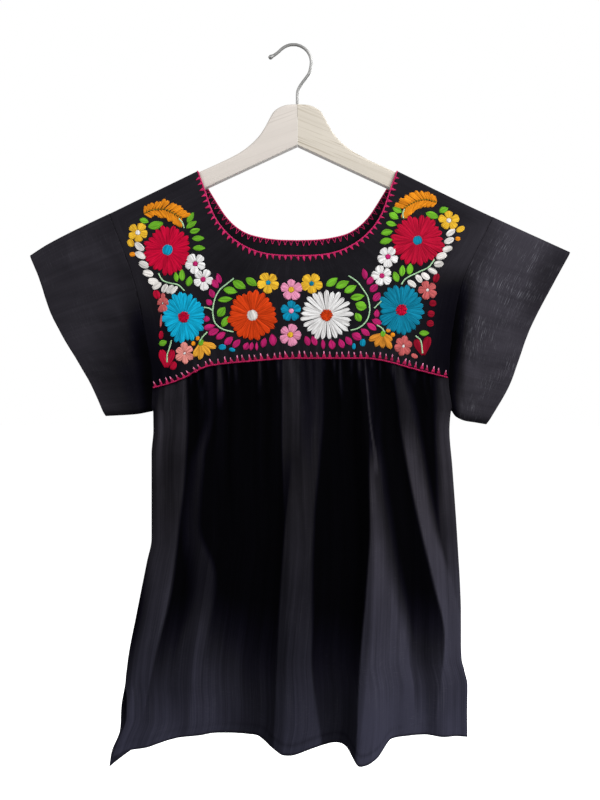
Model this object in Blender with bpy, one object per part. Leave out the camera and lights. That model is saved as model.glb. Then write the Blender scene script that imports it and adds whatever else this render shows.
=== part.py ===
"""An embroidered cotton blouse hanging as flat as it goes on a wooden hanger.

Metres, with +Z up. The front of the blouse faces -Y, and -X is on the left of someone who looks at
the front. The origin is the inner crest of the hanger's hook, which a rail or a nail carries.

The tables give sizes along the garment: "drop" is how far below the hook's crest a place lies, and
"out" how far it is from the hanger's centre line, on the left (-1) or on the right (+1). "Depth" is
how far the cloth stands in front of, or behind, the plane that halves the hanger.
"""

import math

import bmesh
import bpy
import numpy as np

LEFT, RIGHT = -1, 1
FRONT, BACK = -1, 1

# The cloth and its seams
WALL = 0.0012
SEAM_GAP = 0.0003
ARMHOLE_GAP = 0.0006

# The hanger: 430 mm across, its arms falling 25 degrees
CENTRE_X = 0.0045
HANGER_HALF_SPAN = 0.215
HANGER_HALF_DEPTH = 0.0061
ARM_TOP_ROUND = 0.0045
ARM_FOOT_ROUND = 0.0012
ARM_END_TAPER = 0.009
# Where the bar is cut across along that taper, and what is left of its height and its depth at the tip
ARM_END_STATIONS = (0.0, 0.4, 0.7, 0.9, 1.0)
ARM_TIP_HEIGHT_SHARE = 0.25
ARM_TIP_DEPTH_SHARE = 0.3
ARM_TOP_ROUND_STEPS = 3
ARM_FOOT_ROUND_STEPS = 1
BAR_SHARP_EDGE = 40
BAR_APEX_DROP = 0.1151
BAR_UNDERSIDE_SLOPE = 0.465

WIRE_RADIUS = 0.00175
HOOK_BEND_RADIUS = 0.0205
STEM_BORE_CLEARANCE = 0.0003
STEM_IN_WOOD = 0.014
STEM_BORE_SIDES = 16

# Rows of (x, z) up the stem and its swan neck, to where the round bend begins
SWAN_NECK = ((0.0045, -0.0673), (0.0045, -0.0560), (0.0051, -0.0515), (0.0070, -0.0470), (0.0106, -0.0415),
             (0.0149, -0.0358), (0.0183, -0.0303))
HOOK_BEND_START = -12
HOOK_BEND_END = 132
HOOK_BEND_STEP = 12

# Rows of (way along the end of the hook, how far it turns up, share of the wire's radius)
HOOK_TIP = ((0.0045, 0.0, 1.0), (0.0090, 0.0003, 1.0), (0.0125, 0.0009, 1.0), (0.0150, 0.0016, 1.35),
            (0.0166, 0.0020, 1.5), (0.0182, 0.0024, 1.35), (0.0196, 0.0027, 0.8))

# The shoulder line's cross-section over the arm: a flat top and a quarter round on each side
SHOULDER_FLAT = 0.0025
SHOULDER_ROUND = 0.0055
EDGE_ROUND = SHOULDER_FLAT + SHOULDER_ROUND
NECK_POINT_OUT = 0.1145

# Where the cloth is cut across as it closes round the underarm, as shares of its round, and how often a
# gathered panel's points are moved along to where the yoke's seam and the hem really are
UNDERARM_STATIONS = (1.0, 0.5, 0.14)
SEAM_PASSES = 4

SLEEVE_BULGE_AT_ARMHOLE = 0.005
SLEEVE_BULGE_AT_CUFF = 0.009

# How far inside an armhole or a side seam the cloth takes on the depth of the middle
SIDE_BLEND = 0.070
YOKE_DEPTH_GAIN = {FRONT: 0.010, BACK: 0.006}
YOKE_DEPTH_REACH = 0.200
BULGE_REACH = 0.022
BODY_DEPTH_GAIN = {FRONT: 0.005, BACK: 0.003}

# Small gathers, how far down from the yoke's seam they grow and fade, and the softer ones that follow them
GATHERS = 26
GATHER_DEPTH = 0.0018
GATHER_AT_SEAM = 0.6
GATHER_GROWN = 0.008
GATHER_FADED = 0.050
SOFT_GATHER_DEPTH = 0.0016
SOFT_GATHER_GROWN = 0.040
SOFT_GATHER_HOLDS = 0.050
SOFT_GATHER_FADES = 0.110

# How far inside its rounded edge a panel's folds reach their full depth, and the share of the way down at
# which a deep fold has grown, with its breadth just under the yoke as a share of that at the hem
FOLD_FADE_AT_EDGE = 0.030
FOLD_GROWN = 0.15
FOLD_BREADTH_AT_TOP = 0.6

# Columns and rows of the cloth. A gathered panel has half as many columns in its coarse rows
EDGE_COLUMNS = 2
MIDDLE_COLUMNS = 2 * GATHERS
EDGE_SHARE = EDGE_COLUMNS / (2 * EDGE_COLUMNS + MIDDLE_COLUMNS)
FINE_ROWS = (0.0, 0.035, 0.1)
COARSE_ROWS = (0.17, 0.26, 0.36, 0.47, 0.58, 0.69, 0.79, 0.87, 0.94, 1.0)
RIDGE_ROWS = 5
ROUND_STEPS = 4
ROUTE_STEPS = 60
ARMHOLE_ROWS = 6
NECKLINE_COLUMNS = 9
COLUMNS_NEAR_RIDGE = (0.0, 0.0032, 0.0068, 0.0111, 0.0165)
SLEEVE_RINGS = 8

# Rows of (out, drop): the shoulder line from the centre to the sleeve's corner
SHOULDER = {
    LEFT: ((0.0, 0.0891), (0.1145, 0.1446), (0.205, 0.1885), (0.2863, 0.2286), (0.3062, 0.2413)),
    RIGHT: ((0.0, 0.0891), (0.1145, 0.1446), (0.205, 0.1885), (0.3125, 0.2376)),
}

# Rows of (drop, out): each front neckline and back neckline, below the shoulder's round
NECKLINE = {
    FRONT: ((0.1446, 0.1145), (0.163, 0.1075), (0.181, 0.1015), (0.194, 0.0965), (0.208, 0.0880),
            (0.2195, 0.0775), (0.2275, 0.0675), (0.2355, 0.0530), (0.2405, 0.0370), (0.2428, 0.0185),
            (0.2433, 0.0)),
    BACK: ((0.1446, 0.1145), (0.158, 0.1065), (0.168, 0.1005), (0.181, 0.0925), (0.195, 0.0830),
           (0.2065, 0.0715), (0.2145, 0.0580), (0.2190, 0.0410), (0.2215, 0.0210), (0.2220, 0.0)),
}

# Rows of (out, drop), from the left end to the right end: the seam under each yoke
YOKE_SEAM = {
    FRONT: ((-0.1660, 0.3940), (-0.1450, 0.3885), (-0.1280, 0.3820), (-0.1120, 0.3735), (-0.1000, 0.3690),
            (-0.0560, 0.3640), (0.0, 0.3605), (0.0780, 0.3605), (0.0970, 0.3630), (0.1290, 0.3715),
            (0.1730, 0.3825)),
    BACK: ((-0.1660, 0.3900), (-0.1280, 0.3790), (-0.0560, 0.3640), (0.0, 0.3610), (0.0780, 0.3640),
           (0.1290, 0.3760), (0.1730, 0.3850)),
}

# Rows of (drop, out): the armhole seam down to the underarm
ARMHOLE = {
    LEFT: ((0.1935, 0.2150), (0.2780, 0.1840), (0.3390, 0.1720), (0.3850, 0.1655), (0.4195, 0.1667)),
    RIGHT: ((0.1975, 0.2237), (0.2780, 0.1860), (0.3390, 0.1752), (0.3845, 0.1725), (0.4195, 0.1775)),
}
UNDERARM_DROP = 0.4195

# Rows of (drop, out, seam depth towards the front): the side seam down to the slit
SIDE_SEAM = {
    LEFT: ((0.4195, 0.1655, 0.0), (0.4414, 0.1652, 0.0), (0.4690, 0.1673, 0.0), (0.5656, 0.1673, 0.0),
           (0.5930, 0.1725, 0.002), (0.6484, 0.1832, 0.005), (0.7036, 0.1935, 0.007),
           (0.7312, 0.1965, 0.0077)),
    RIGHT: ((0.4195, 0.1762, 0.0), (0.4414, 0.1745, 0.0), (0.4828, 0.1777, 0.0), (0.5656, 0.1835, 0.0),
            (0.6208, 0.1865, 0.002), (0.6484, 0.1873, 0.003), (0.6898, 0.1872, 0.005),
            (0.7036, 0.1878, 0.006)),
}

# Rows of (drop, out, depth) from the slit's top to the hem's corner, for each panel
SLIT_EDGE = {
    (FRONT, LEFT): ((0.7476, 0.1948, 0.0095), (0.7676, 0.1945, 0.0130), (0.7925, 0.2030, 0.0180),
                    (0.8117, 0.2096, 0.0220)),
    (BACK, LEFT): ((0.7588, 0.2018, -0.0020), (0.7864, 0.2041, 0.0030), (0.8140, 0.2145, 0.0045),
                   (0.8300, 0.2170, 0.0050)),
    (FRONT, RIGHT): ((0.7174, 0.1912, 0.0085), (0.7312, 0.1940, 0.0110), (0.7657, 0.1930, 0.0150),
                     (0.7889, 0.1929, 0.0180)),
    (BACK, RIGHT): ((0.7174, 0.1912, -0.0040), (0.7400, 0.1930, 0.0), (0.7657, 0.1925, 0.0030),
                    (0.7889, 0.1920, 0.0040)),
}

# Rows of (out, drop), from the left corner to the right corner: the hem of each panel
HEM = {
    FRONT: ((-0.2096, 0.8117), (-0.1910, 0.8035), (-0.1550, 0.7937), (-0.1190, 0.7850), (-0.0825, 0.7825),
            (-0.0465, 0.7850), (-0.0285, 0.7970), (-0.0105, 0.8015), (0.0075, 0.7985), (0.0255, 0.7960),
            (0.0435, 0.7935), (0.0545, 0.7960), (0.0690, 0.8120), (0.0875, 0.8050), (0.1065, 0.7880),
            (0.1425, 0.7852), (0.1929, 0.7889)),
    BACK: ((-0.2170, 0.8300), (-0.1850, 0.8080), (-0.1400, 0.7920), (-0.0900, 0.7830), (-0.0550, 0.7880),
           (-0.0100, 0.7830), (0.0400, 0.7890), (0.0900, 0.7820), (0.1300, 0.7860), (0.1920, 0.7889)),
}

# Rows of (out at the yoke, halfway, at the hem, reach to the left, reach to the right, depth at the hem,
# share of the depth that it has just under the yoke): the deep folds, left to right
FOLDS = {
    FRONT: ((-0.120, -0.150, -0.172, 0.030, 0.030, 0.008, 0.30),
            (-0.092, -0.106, -0.116, 0.022, 0.026, 0.006, 0.35),
            (-0.002, -0.005, -0.012, 0.024, 0.050, 0.022, 0.15),
            (0.073, 0.087, 0.071, 0.022, 0.046, 0.028, 0.12),
            (0.118, 0.150, 0.172, 0.030, 0.024, 0.011, 0.35)),
    BACK: ((-0.125, -0.142, -0.160, 0.030, 0.028, 0.008, 0.25),
           (-0.058, -0.062, -0.056, 0.040, 0.026, 0.012, 0.20),
           (0.028, 0.034, 0.040, 0.026, 0.044, 0.014, 0.20),
           (0.112, 0.124, 0.132, 0.030, 0.026, 0.010, 0.25)),
}

# Rows of (drop, out) from the shoulder's corner to the lower corner: each cuff's edge
CUFF = {
    LEFT: ((0.2413, 0.3062), (0.2690, 0.2940), (0.3055, 0.2810), (0.3330, 0.2672), (0.3615, 0.2505),
           (0.3905, 0.2345), (0.4250, 0.2200)),
    RIGHT: ((0.2376, 0.3125), (0.2730, 0.2922), (0.3115, 0.2712), (0.3370, 0.2595), (0.3625, 0.2510),
            (0.3895, 0.2415), (0.4345, 0.2168)),
}

# Rows of (share of the way to the cuff, how far the under-seam sags below the straight line)
UNDER_SEAM_SAG = {
    LEFT: ((0.0, 0.0), (0.35, 0.0015), (1.0, 0.0)),
    RIGHT: ((0.0, 0.0), (0.12, 0.0045), (0.30, 0.0055), (0.70, 0.0025), (1.0, 0.0)),
}

# Rows of (place along the sleeve, place down it, half length, half height, depth), as shares of the sleeve
SLEEVE_FOLDS = {
    LEFT: ((0.35, 0.45, 0.35, 0.22, 0.0030), (0.75, 0.25, 0.25, 0.20, -0.0020),
           (0.70, 0.75, 0.30, 0.15, 0.0025)),
    RIGHT: ((0.50, 0.55, 0.30, 0.25, 0.0040), (0.85, 0.30, 0.22, 0.20, -0.0035),
            (0.30, 0.80, 0.30, 0.12, 0.0025)),
}

# Rows of (out, drop): the top edge of the hanger's block and arms
BAR_TOP = ((0.0, 0.0673), (0.0115, 0.0680), (0.0195, 0.0705), (0.0265, 0.0752), (0.0295, 0.0792),
           (0.0325, 0.0850), (0.0365, 0.0925), (0.0430, 0.1025), (0.0520, 0.1122), (0.0625, 0.1205),
           (0.0745, 0.1275), (0.0885, 0.1343), (0.1145, 0.1461), (0.1450, 0.1609), (0.1750, 0.1755),
           (0.2050, 0.1900), (0.2300, 0.2021))

COTTON = (0.012, 0.012, 0.014, 1.0)
ASH_WOOD = (0.72, 0.68, 0.62, 1.0)
STEEL = (0.55, 0.55, 0.56, 1.0)


def through(rows, at, column=1):
    """The value at a place on the smooth curve through a table's rows, which never overshoots them."""
    places = np.array([row[0] for row in rows])
    values = np.array([row[column] for row in rows])
    step = np.diff(places)
    slope = np.diff(values) / step
    tangent = np.empty_like(values)
    tangent[0], tangent[-1] = slope[0], slope[-1]
    before, after = slope[:-1], slope[1:]
    turning = before * after <= 0
    tangent[1:-1] = np.where(turning, 0.0, 2 * before * after / np.where(turning, 1.0, before + after))
    i = int(np.clip(np.searchsorted(places, at) - 1, 0, len(step) - 1))
    t = min(1.0, max(0.0, (at - places[i]) / step[i]))
    return (values[i] * (1 + 2 * t) * (1 - t) ** 2 + tangent[i] * step[i] * t * (1 - t) ** 2
            + values[i + 1] * (3 - 2 * t) * t ** 2 - tangent[i + 1] * step[i] * (1 - t) * t ** 2)


def ease(t):
    """Rises smoothly from 0 at t = 0 to 1 at t = 1."""
    t = min(1.0, max(0.0, t))
    return t * t * (3 - 2 * t)


def mix(low, high, share):
    """The value this share of the way from low to high."""
    return low + (high - low) * share


def clear_scene():
    """Removes every object."""
    for obj in list(bpy.data.objects):
        bpy.data.objects.remove(obj)


def finish(name, colour, roughness, metallic=0.0):
    """A plain material."""
    material = bpy.data.materials.new(name)
    material.use_nodes = True
    shader = material.node_tree.nodes["Principled BSDF"]
    shader.inputs["Base Color"].default_value = colour
    shader.inputs["Roughness"].default_value = roughness
    shader.inputs["Metallic"].default_value = metallic
    return material


def add_object(name, data, material):
    """An object of a mesh or a curve, in its material."""
    data.materials.append(material)
    obj = bpy.data.objects.new(name, data)
    bpy.context.collection.objects.link(obj)
    return obj


# The cloth's form

def side_of(out):
    """The side that a signed distance out lies on."""
    return LEFT if out < 0 else RIGHT


def shoulder_drop(out):
    """Drop of the shoulder line, which runs on over the neck opening to the centre."""
    return through(SHOULDER[side_of(out)], abs(out))


def shoulder_section(run):
    """(depth, fall) of the cloth over the hanger's arm, a given run of cloth away from the ridge."""
    round_length = SHOULDER_ROUND * math.pi / 2
    if run <= SHOULDER_FLAT:
        return run, 0.0
    if run <= SHOULDER_FLAT + round_length:
        turn = (run - SHOULDER_FLAT) / SHOULDER_ROUND
        return SHOULDER_FLAT + SHOULDER_ROUND * math.sin(turn), SHOULDER_ROUND * (1 - math.cos(turn))
    return EDGE_ROUND, SHOULDER_ROUND + run - SHOULDER_FLAT - round_length


def run_for_fall(fall):
    """The run of cloth that ends this far below the ridge."""
    if fall <= 0:
        return 0.0
    if fall < SHOULDER_ROUND:
        return SHOULDER_FLAT + SHOULDER_ROUND * math.acos(1 - fall / SHOULDER_ROUND)
    return SHOULDER_FLAT + SHOULDER_ROUND * math.pi / 2 + fall - SHOULDER_ROUND


def armhole_bulge(side, drop):
    """How far the armhole stands out past the shoulder's half thickness, this far down."""
    top = ARMHOLE[side][0][0]
    share = (drop - top) / (UNDERARM_DROP - top)
    return SLEEVE_BULGE_AT_ARMHOLE * math.sin(math.pi * min(1.0, max(0.0, share)))


def armhole_depth(side, drop):
    """Half the thickness of the sleeve at the armhole seam, closing round the underarm."""
    above = UNDERARM_DROP - drop
    if above >= EDGE_ROUND:
        return EDGE_ROUND + armhole_bulge(side, drop)
    turn = math.acos(1 - max(0.0, above) / EDGE_ROUND)
    return (EDGE_ROUND + armhole_bulge(side, drop)) * math.sin(turn)


def yoke_depth(panel, out, fall, depth, drop):
    """Depth of a yoke: the shoulder's section, then more and more towards the middle of the chest."""
    side = side_of(out)
    inside = through(ARMHOLE[side], drop) - abs(out)
    middle = YOKE_DEPTH_GAIN[panel] * ease((fall - SHOULDER_ROUND) / YOKE_DEPTH_REACH)
    edge = armhole_bulge(side, drop) * ease((fall - SHOULDER_ROUND) / BULGE_REACH)
    return depth + mix(edge, middle, ease(inside / SIDE_BLEND))


def edge_rows(panel, side):
    """Rows of (drop, out, depth) down a gathered panel's edge: armhole, side seam, then slit."""
    rows = [(drop, out, armhole_depth(side, drop)) for drop, out in ARMHOLE[side][2:-1]]
    for share in UNDERARM_STATIONS:
        drop = UNDERARM_DROP - share * EDGE_ROUND
        rows.append((drop, through(ARMHOLE[side], drop), armhole_depth(side, drop)))
    rows += [(drop, out, -panel * depth) for drop, out, depth in SIDE_SEAM[side]]
    return rows + list(SLIT_EDGE[panel, side])


def fold_depth(panel, out, down):
    """How far the deep folds stand out, at a share of the way down from the yoke to the hem."""
    total = 0.0
    for top, middle, low, left_reach, right_reach, depth, early in FOLDS[panel]:
        centre = through(((0.0, top), (0.5, middle), (1.0, low)), down)
        reach = left_reach if out < centre else right_reach
        away = abs(out - centre) / (reach * mix(FOLD_BREADTH_AT_TOP, 1.0, down))
        if away < 1:
            grown = mix(early, 1.0, down) * ease(down / FOLD_GROWN)
            total += depth * grown * math.cos(math.pi / 2 * away) ** 2
    return total


def gather_depth(across, down_from_seam):
    """The small gathers sewn into the yoke seam, and the softer ones, twice as wide, that they run into."""
    fresh = GATHER_DEPTH * mix(GATHER_AT_SEAM, 1.0, ease(down_from_seam / GATHER_GROWN))
    fresh *= 1 - ease(down_from_seam / GATHER_FADED)
    soft = SOFT_GATHER_DEPTH * ease(down_from_seam / SOFT_GATHER_GROWN)
    soft *= 1 - ease((down_from_seam - SOFT_GATHER_HOLDS) / SOFT_GATHER_FADES)
    return (fresh * math.cos(2 * math.pi * GATHERS * across)
            + soft * math.cos(math.pi * GATHERS * across))


# Meshes

def sheet_faces(lengths, closed):
    """Faces of a sheet of rows of points. A row may have half as many spans as the one above it."""
    faces, start = [], 0
    for upper, lower in zip(lengths, lengths[1:]):
        above, below = start, start + upper
        if upper == lower:
            for i in range(upper if closed else upper - 1):
                j = (i + 1) % upper
                faces.append((above + i, below + i, below + j, above + j))
        else:
            for i in range(lower - 1):
                first, middle, last = above + 2 * i, above + 2 * i + 1, above + 2 * i + 2
                faces.append((first, below + i, middle))
                faces.append((middle, below + i, below + i + 1))
                faces.append((middle, below + i + 1, last))
        start = below
    return faces


def point_normals(points, faces):
    """The normal at each point, from the faces round it."""
    normals = np.zeros_like(points)
    for face in faces:
        corners = points[list(face)]
        area = np.cross(corners[2] - corners[0], corners[-1] - corners[1])
        for i in face:
            normals[i] += area
    return normals / np.linalg.norm(normals, axis=1)[:, None]


def cloth_wall(name, rows, material, flat_seams, closed=False):
    """A panel of cloth: its middle surface given a thickness, with its edges closed.

    flat_seams lists (indices of points, axis): along a seam the wall is cut square to that axis,
    so that two panels that meet there stay the seam's gap apart.
    """
    points = np.array([point for row in rows for point in row])
    faces = sheet_faces([len(row) for row in rows], closed)
    normals = point_normals(points, faces)
    for indices, axis in flat_seams:
        normals[indices, axis] = 0.0
        normals[indices] /= np.linalg.norm(normals[indices], axis=1)[:, None]
    outer, inner = points + normals * WALL / 2, points - normals * WALL / 2
    mesh = bmesh.new()
    outside = [mesh.verts.new(point) for point in outer]
    inside = [mesh.verts.new(point) for point in inner]
    used = set()
    for face in faces:
        mesh.faces.new([outside[i] for i in face])
        mesh.faces.new([inside[i] for i in reversed(face)])
        used.update(zip(face, face[1:] + face[:1]))
    for i, j in used:
        if (j, i) not in used:
            mesh.faces.new((outside[j], outside[i], inside[i], inside[j]))
    data = bpy.data.meshes.new(name)
    mesh.to_mesh(data)
    mesh.free()
    data.shade_smooth()
    return add_object(name, data, material)


def runs_over_round():
    """Runs of cloth from the ridge to the end of the shoulder's round."""
    end = SHOULDER_FLAT + SHOULDER_ROUND * math.pi / 2
    return [0.0] + [mix(SHOULDER_FLAT, end, k / (ROUND_STEPS - 1)) for k in range(ROUND_STEPS)]


def spaced(route, starts, count):
    """Points along a route of (out, run): at the given lengths first, then evenly to its end."""
    route = np.array(route)
    length = np.concatenate([[0], np.cumsum(np.linalg.norm(np.diff(route, axis=0), axis=1))])
    ways = list(starts) + [mix(starts[-1], length[-1], k / count) for k in range(1, count + 1)]
    return np.stack([np.interp(ways, length, route[:, i]) for i in (0, 1)], axis=1)


def unrolled(out, drop, side):
    """(out, run of cloth from the ridge) of a place on a yoke."""
    return out, run_for_fall(drop - shoulder_drop(side * out))


def yoke_borders(panel, side):
    """The four borders of half a yoke, unrolled: neckline, seam, ridge with armhole, and centre line."""
    neckline = NECKLINE[panel]
    seam_out, seam_drop = (abs(value) for value in YOKE_SEAM[panel][0 if side == LEFT else -1])
    round_runs = runs_over_round()
    over_round = [(through(neckline, neckline[0][0] + shoulder_section(run)[1]), run) for run in round_runs]
    below = [unrolled(through(neckline, drop), drop, side)
             for drop in np.linspace(neckline[0][0] + SHOULDER_ROUND, neckline[-1][0], ROUTE_STEPS)[1:]]
    top = spaced(over_round + below, COLUMNS_NEAR_RIDGE, NECKLINE_COLUMNS)
    foot = [unrolled(out, through(YOKE_SEAM[panel], side * out), side)
            for out in np.linspace(seam_out, 0, ROUTE_STEPS)]
    bottom = spaced(foot, COLUMNS_NEAR_RIDGE, NECKLINE_COLUMNS)
    ridge = [(mix(NECK_POINT_OUT, ARMHOLE[side][0][1], k / RIDGE_ROWS), 0.0) for k in range(RIDGE_ROWS + 1)]
    top_drop = ARMHOLE[side][0][0]
    falls = [shoulder_section(run)[1] for run in round_runs[1:]]
    drops = [top_drop + fall for fall in falls]
    drops += [mix(drops[-1], seam_drop, k / ARMHOLE_ROWS) for k in range(1, ARMHOLE_ROWS + 1)]
    armhole = []
    for run, drop in zip(round_runs[1:] + [None] * ARMHOLE_ROWS, drops):
        out = through(ARMHOLE[side], drop)
        armhole.append((out, run) if run else unrolled(out, drop, side))
    edge = np.array(ridge + armhole)
    centre = np.array([(0.0, mix(top[-1][1], bottom[-1][1], k / (len(edge) - 1))) for k in range(len(edge))])
    return top, bottom, edge, centre


def yoke_half(panel, side):
    """Rows of (out, depth, drop) over half a yoke, from the neckline outwards, each ending at the centre."""
    top, bottom, edge, centre = yoke_borders(panel, side)
    rows = []
    for j in range(len(edge)):
        v, row = j / (len(edge) - 1), []
        for k in range(len(top)):
            u = k / (len(top) - 1)
            out, run = (mix(top[k], bottom[k], v) + mix(edge[j], centre[j], u)
                        - mix(mix(edge[0], centre[0], u), mix(edge[-1], centre[-1], u), v))
            depth, fall = shoulder_section(max(0.0, run))
            drop = shoulder_drop(side * out) + fall
            row.append((out, yoke_depth(panel, side * out, fall, depth, drop), drop))
        rows.append(row)
    return rows


def yoke_foot(panel):
    """(out, drop) along the seam under a yoke, left to right."""
    left, right = (yoke_half(panel, side)[-1] for side in (LEFT, RIGHT))
    feet = [(-out, drop) for out, _, drop in left]
    return np.array(feet + [(out, drop) for out, _, drop in right[-2::-1]])


def build_yoke(name, panel, material):
    """A yoke: shoulders, armholes and the gathered seam round it, with the neckline cut out of its top."""
    left, right = yoke_half(panel, LEFT), yoke_half(panel, RIGHT)
    grid = np.array([[(CENTRE_X - out, panel * depth, -drop) for out, depth, drop in left_row]
                     + [(CENTRE_X + out, panel * depth, -drop) for out, depth, drop in right_row[-2::-1]]
                     for left_row, right_row in zip(left, right)])
    row_count, column_count = grid.shape[:2]
    grid[:RIDGE_ROWS + 1, [0, -1], 1] = panel * SEAM_GAP / 2
    grid[RIDGE_ROWS:, 0, 0] += ARMHOLE_GAP / 2
    grid[RIDGE_ROWS:, -1, 0] -= ARMHOLE_GAP / 2
    grid[-1, :, 2] += SEAM_GAP / 2
    ends = [(row * column_count, (row + 1) * column_count - 1) for row in range(row_count)]
    ridge = [index for pair in ends[:RIDGE_ROWS + 1] for index in pair]
    armhole = [index for pair in ends[RIDGE_ROWS:] for index in pair]
    foot = list(range((row_count - 1) * column_count, row_count * column_count))
    if panel == BACK:
        grid = grid[:, ::-1]
    return cloth_wall(name, grid, material, ((ridge, 1), (armhole, 0), (foot, 2)))


def body_section(across, drop, edges):
    """(out, depth) at a share of the way across a gathered panel, from its left edge to its right edge.

    Between its two rounded edges, where the folds set the depth, the depth is None.
    """
    outs = {side: through(edges[side], drop, 1) for side in (LEFT, RIGHT)}
    if EDGE_SHARE <= across <= 1 - EDGE_SHARE:
        share = (across - EDGE_SHARE) / (1 - 2 * EDGE_SHARE)
        return mix(EDGE_ROUND - outs[LEFT], outs[RIGHT] - EDGE_ROUND, share), None
    side = LEFT if across < 0.5 else RIGHT
    turn = min(across, 1 - across) / EDGE_SHARE
    start, inner = edge_depths(side, drop, edges)
    flat = max(0.0, start / inner)
    out = outs[side] - EDGE_ROUND * mix(1 - math.cos(math.pi / 2 * turn), turn, flat)
    return side * out, mix(start, inner, math.sin(math.pi / 2 * turn))


def edge_depths(side, drop, edges):
    """Depth of a gathered panel at its very edge, and where its rounded edge ends."""
    start = through(edges[side], drop, 2)
    return start, max(EDGE_ROUND + armhole_bulge(side, drop), start)


def body_point(panel, across, down, edges, foot):
    """(out, depth, drop) of a gathered panel, at shares of the way across it and down it."""
    drop, hem = foot[len(foot) // 2][1], HEM[panel][len(HEM[panel]) // 2][1]
    for _ in range(SEAM_PASSES):
        top_out, _ = body_section(across, drop, edges)
        hem_out, _ = body_section(across, hem, edges)
        drop = float(np.interp(top_out, foot[:, 0], foot[:, 1]))
        hem = through(HEM[panel], hem_out)
    here = mix(drop, hem, down)
    out, depth = body_section(across, here, edges)
    if depth is None:
        insides = {side: through(edges[side], here, 1) - EDGE_ROUND - side * out for side in (LEFT, RIGHT)}
        side = min(insides, key=insides.get)
        inside = insides[side]
        middle = EDGE_ROUND + YOKE_DEPTH_GAIN[panel] + BODY_DEPTH_GAIN[panel] * ease(down)
        depth = mix(edge_depths(side, here, edges)[1], middle, ease(inside / SIDE_BLEND))
        share = (across - EDGE_SHARE) / (1 - 2 * EDGE_SHARE)
        folds = fold_depth(panel, out, down) + gather_depth(share, here - drop)
        depth += ease(inside / FOLD_FADE_AT_EDGE) * folds
    return out, depth, here


def body_rows(panel):
    """Rows of (out, depth, drop) of a gathered panel: the fine ones near the yoke, then the coarse."""
    edges = {side: edge_rows(panel, side) for side in (LEFT, RIGHT)}
    foot = yoke_foot(panel)
    coarse = 2 * EDGE_COLUMNS + MIDDLE_COLUMNS
    return [[body_point(panel, k / count, down, edges, foot) for k in range(count + 1)]
            for count, downs in ((2 * coarse, FINE_ROWS), (coarse, COARSE_ROWS)) for down in downs]


def build_body(name, panel, material):
    """A gathered panel: yoke seam to hem, with side seams that open into a slit above the hem."""
    rows = [[[CENTRE_X + out, panel * depth, -drop] for out, depth, drop in row] for row in body_rows(panel)]
    if panel == BACK:
        rows = [row[::-1] for row in rows]
    starts = np.concatenate([[0], np.cumsum([len(row) for row in rows])])
    sewn, armhole = [], []
    for row, start in zip(rows, starts):
        for place in (0, -1):
            above_underarm = -row[place][2] < UNDERARM_DROP
            side = np.sign(row[place][0] - CENTRE_X)
            slit_top = SIDE_SEAM[int(side)][-1][0]
            index = int(start) + (place if place == 0 else len(row) - 1)
            if above_underarm:
                armhole.append(index)
                row[place][0] -= side * ARMHOLE_GAP / 2
            elif -row[place][2] < slit_top:
                sewn.append(index)
                row[place][1] += panel * SEAM_GAP / 2
    for point in rows[0]:
        point[2] -= SEAM_GAP / 2
    top = list(range(len(rows[0])))
    return cloth_wall(name, rows, material, ((sewn, 1), (armhole, 0), (top, 2)))


def armhole_half(panel, side):
    """(out, depth, drop) down one face of an armhole: the yoke's edge, the panel's, then the underarm."""
    edge = [row[0] for row in yoke_half(panel, side)[RIDGE_ROWS:]]
    place = 0 if side == LEFT else -1
    edge += [(abs(row[place][0]), row[place][1], row[place][2]) for row in body_rows(panel)[1:len(FINE_ROWS)]
             if row[place][2] < UNDERARM_DROP]
    drops = [UNDERARM_DROP - share * EDGE_ROUND for share in UNDERARM_STATIONS[1:]] + [UNDERARM_DROP]
    edge += [(through(ARMHOLE[side], drop), armhole_depth(side, drop), drop)
             for drop in drops if drop > edge[-1][2]]
    return edge


def sleeve_ring(side, along, halves):
    """The closed ring of (out, depth, drop) round a sleeve, at a share of the way to the cuff."""
    ring = []
    cuff_out, cuff_foot = CUFF[side][0][1], CUFF[side][-1][0]
    ridge_out = mix(ARMHOLE[side][0][1], cuff_out, along)
    ridge_drop = shoulder_drop(side * ridge_out)
    foot_drop = mix(UNDERARM_DROP, cuff_foot, along) + through(UNDER_SEAM_SAG[side], along)
    top = halves[FRONT][0][2]
    height, straight = foot_drop - ridge_drop, UNDERARM_DROP - top - SHOULDER_ROUND - EDGE_ROUND
    for panel in (FRONT, BACK):
        points = []
        for out, depth, drop in halves[panel]:
            fall, above = drop - top, UNDERARM_DROP - drop
            if above < EDGE_ROUND:
                fall = height - above
            elif fall > SHOULDER_ROUND:
                fall = mix(SHOULDER_ROUND, height - EDGE_ROUND, (fall - SHOULDER_ROUND) / straight)
            down = fall / height
            reach = through(CUFF[side], mix(CUFF[side][0][0], cuff_foot, down))
            swell = along * (SLEEVE_BULGE_AT_CUFF - SLEEVE_BULGE_AT_ARMHOLE) * math.sin(math.pi * down)
            swell += sleeve_fold(side, along, down)
            points.append((mix(out, reach, along), panel * (depth + swell * min(1.0, depth / EDGE_ROUND)),
                           ridge_drop + fall))
        ring += points if panel == FRONT else points[-2:0:-1]
    return ring


def sleeve_fold(side, along, down):
    """How far a sleeve's soft folds stand out, at shares of the way along it and down it."""
    rise = 0.0
    for centre, height, half_length, half_height, depth in SLEEVE_FOLDS[side]:
        away = math.hypot((along - centre) / half_length, (down - height) / half_height)
        if away < 1:
            rise += depth * math.cos(math.pi / 2 * away) ** 2
    return rise


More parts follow.
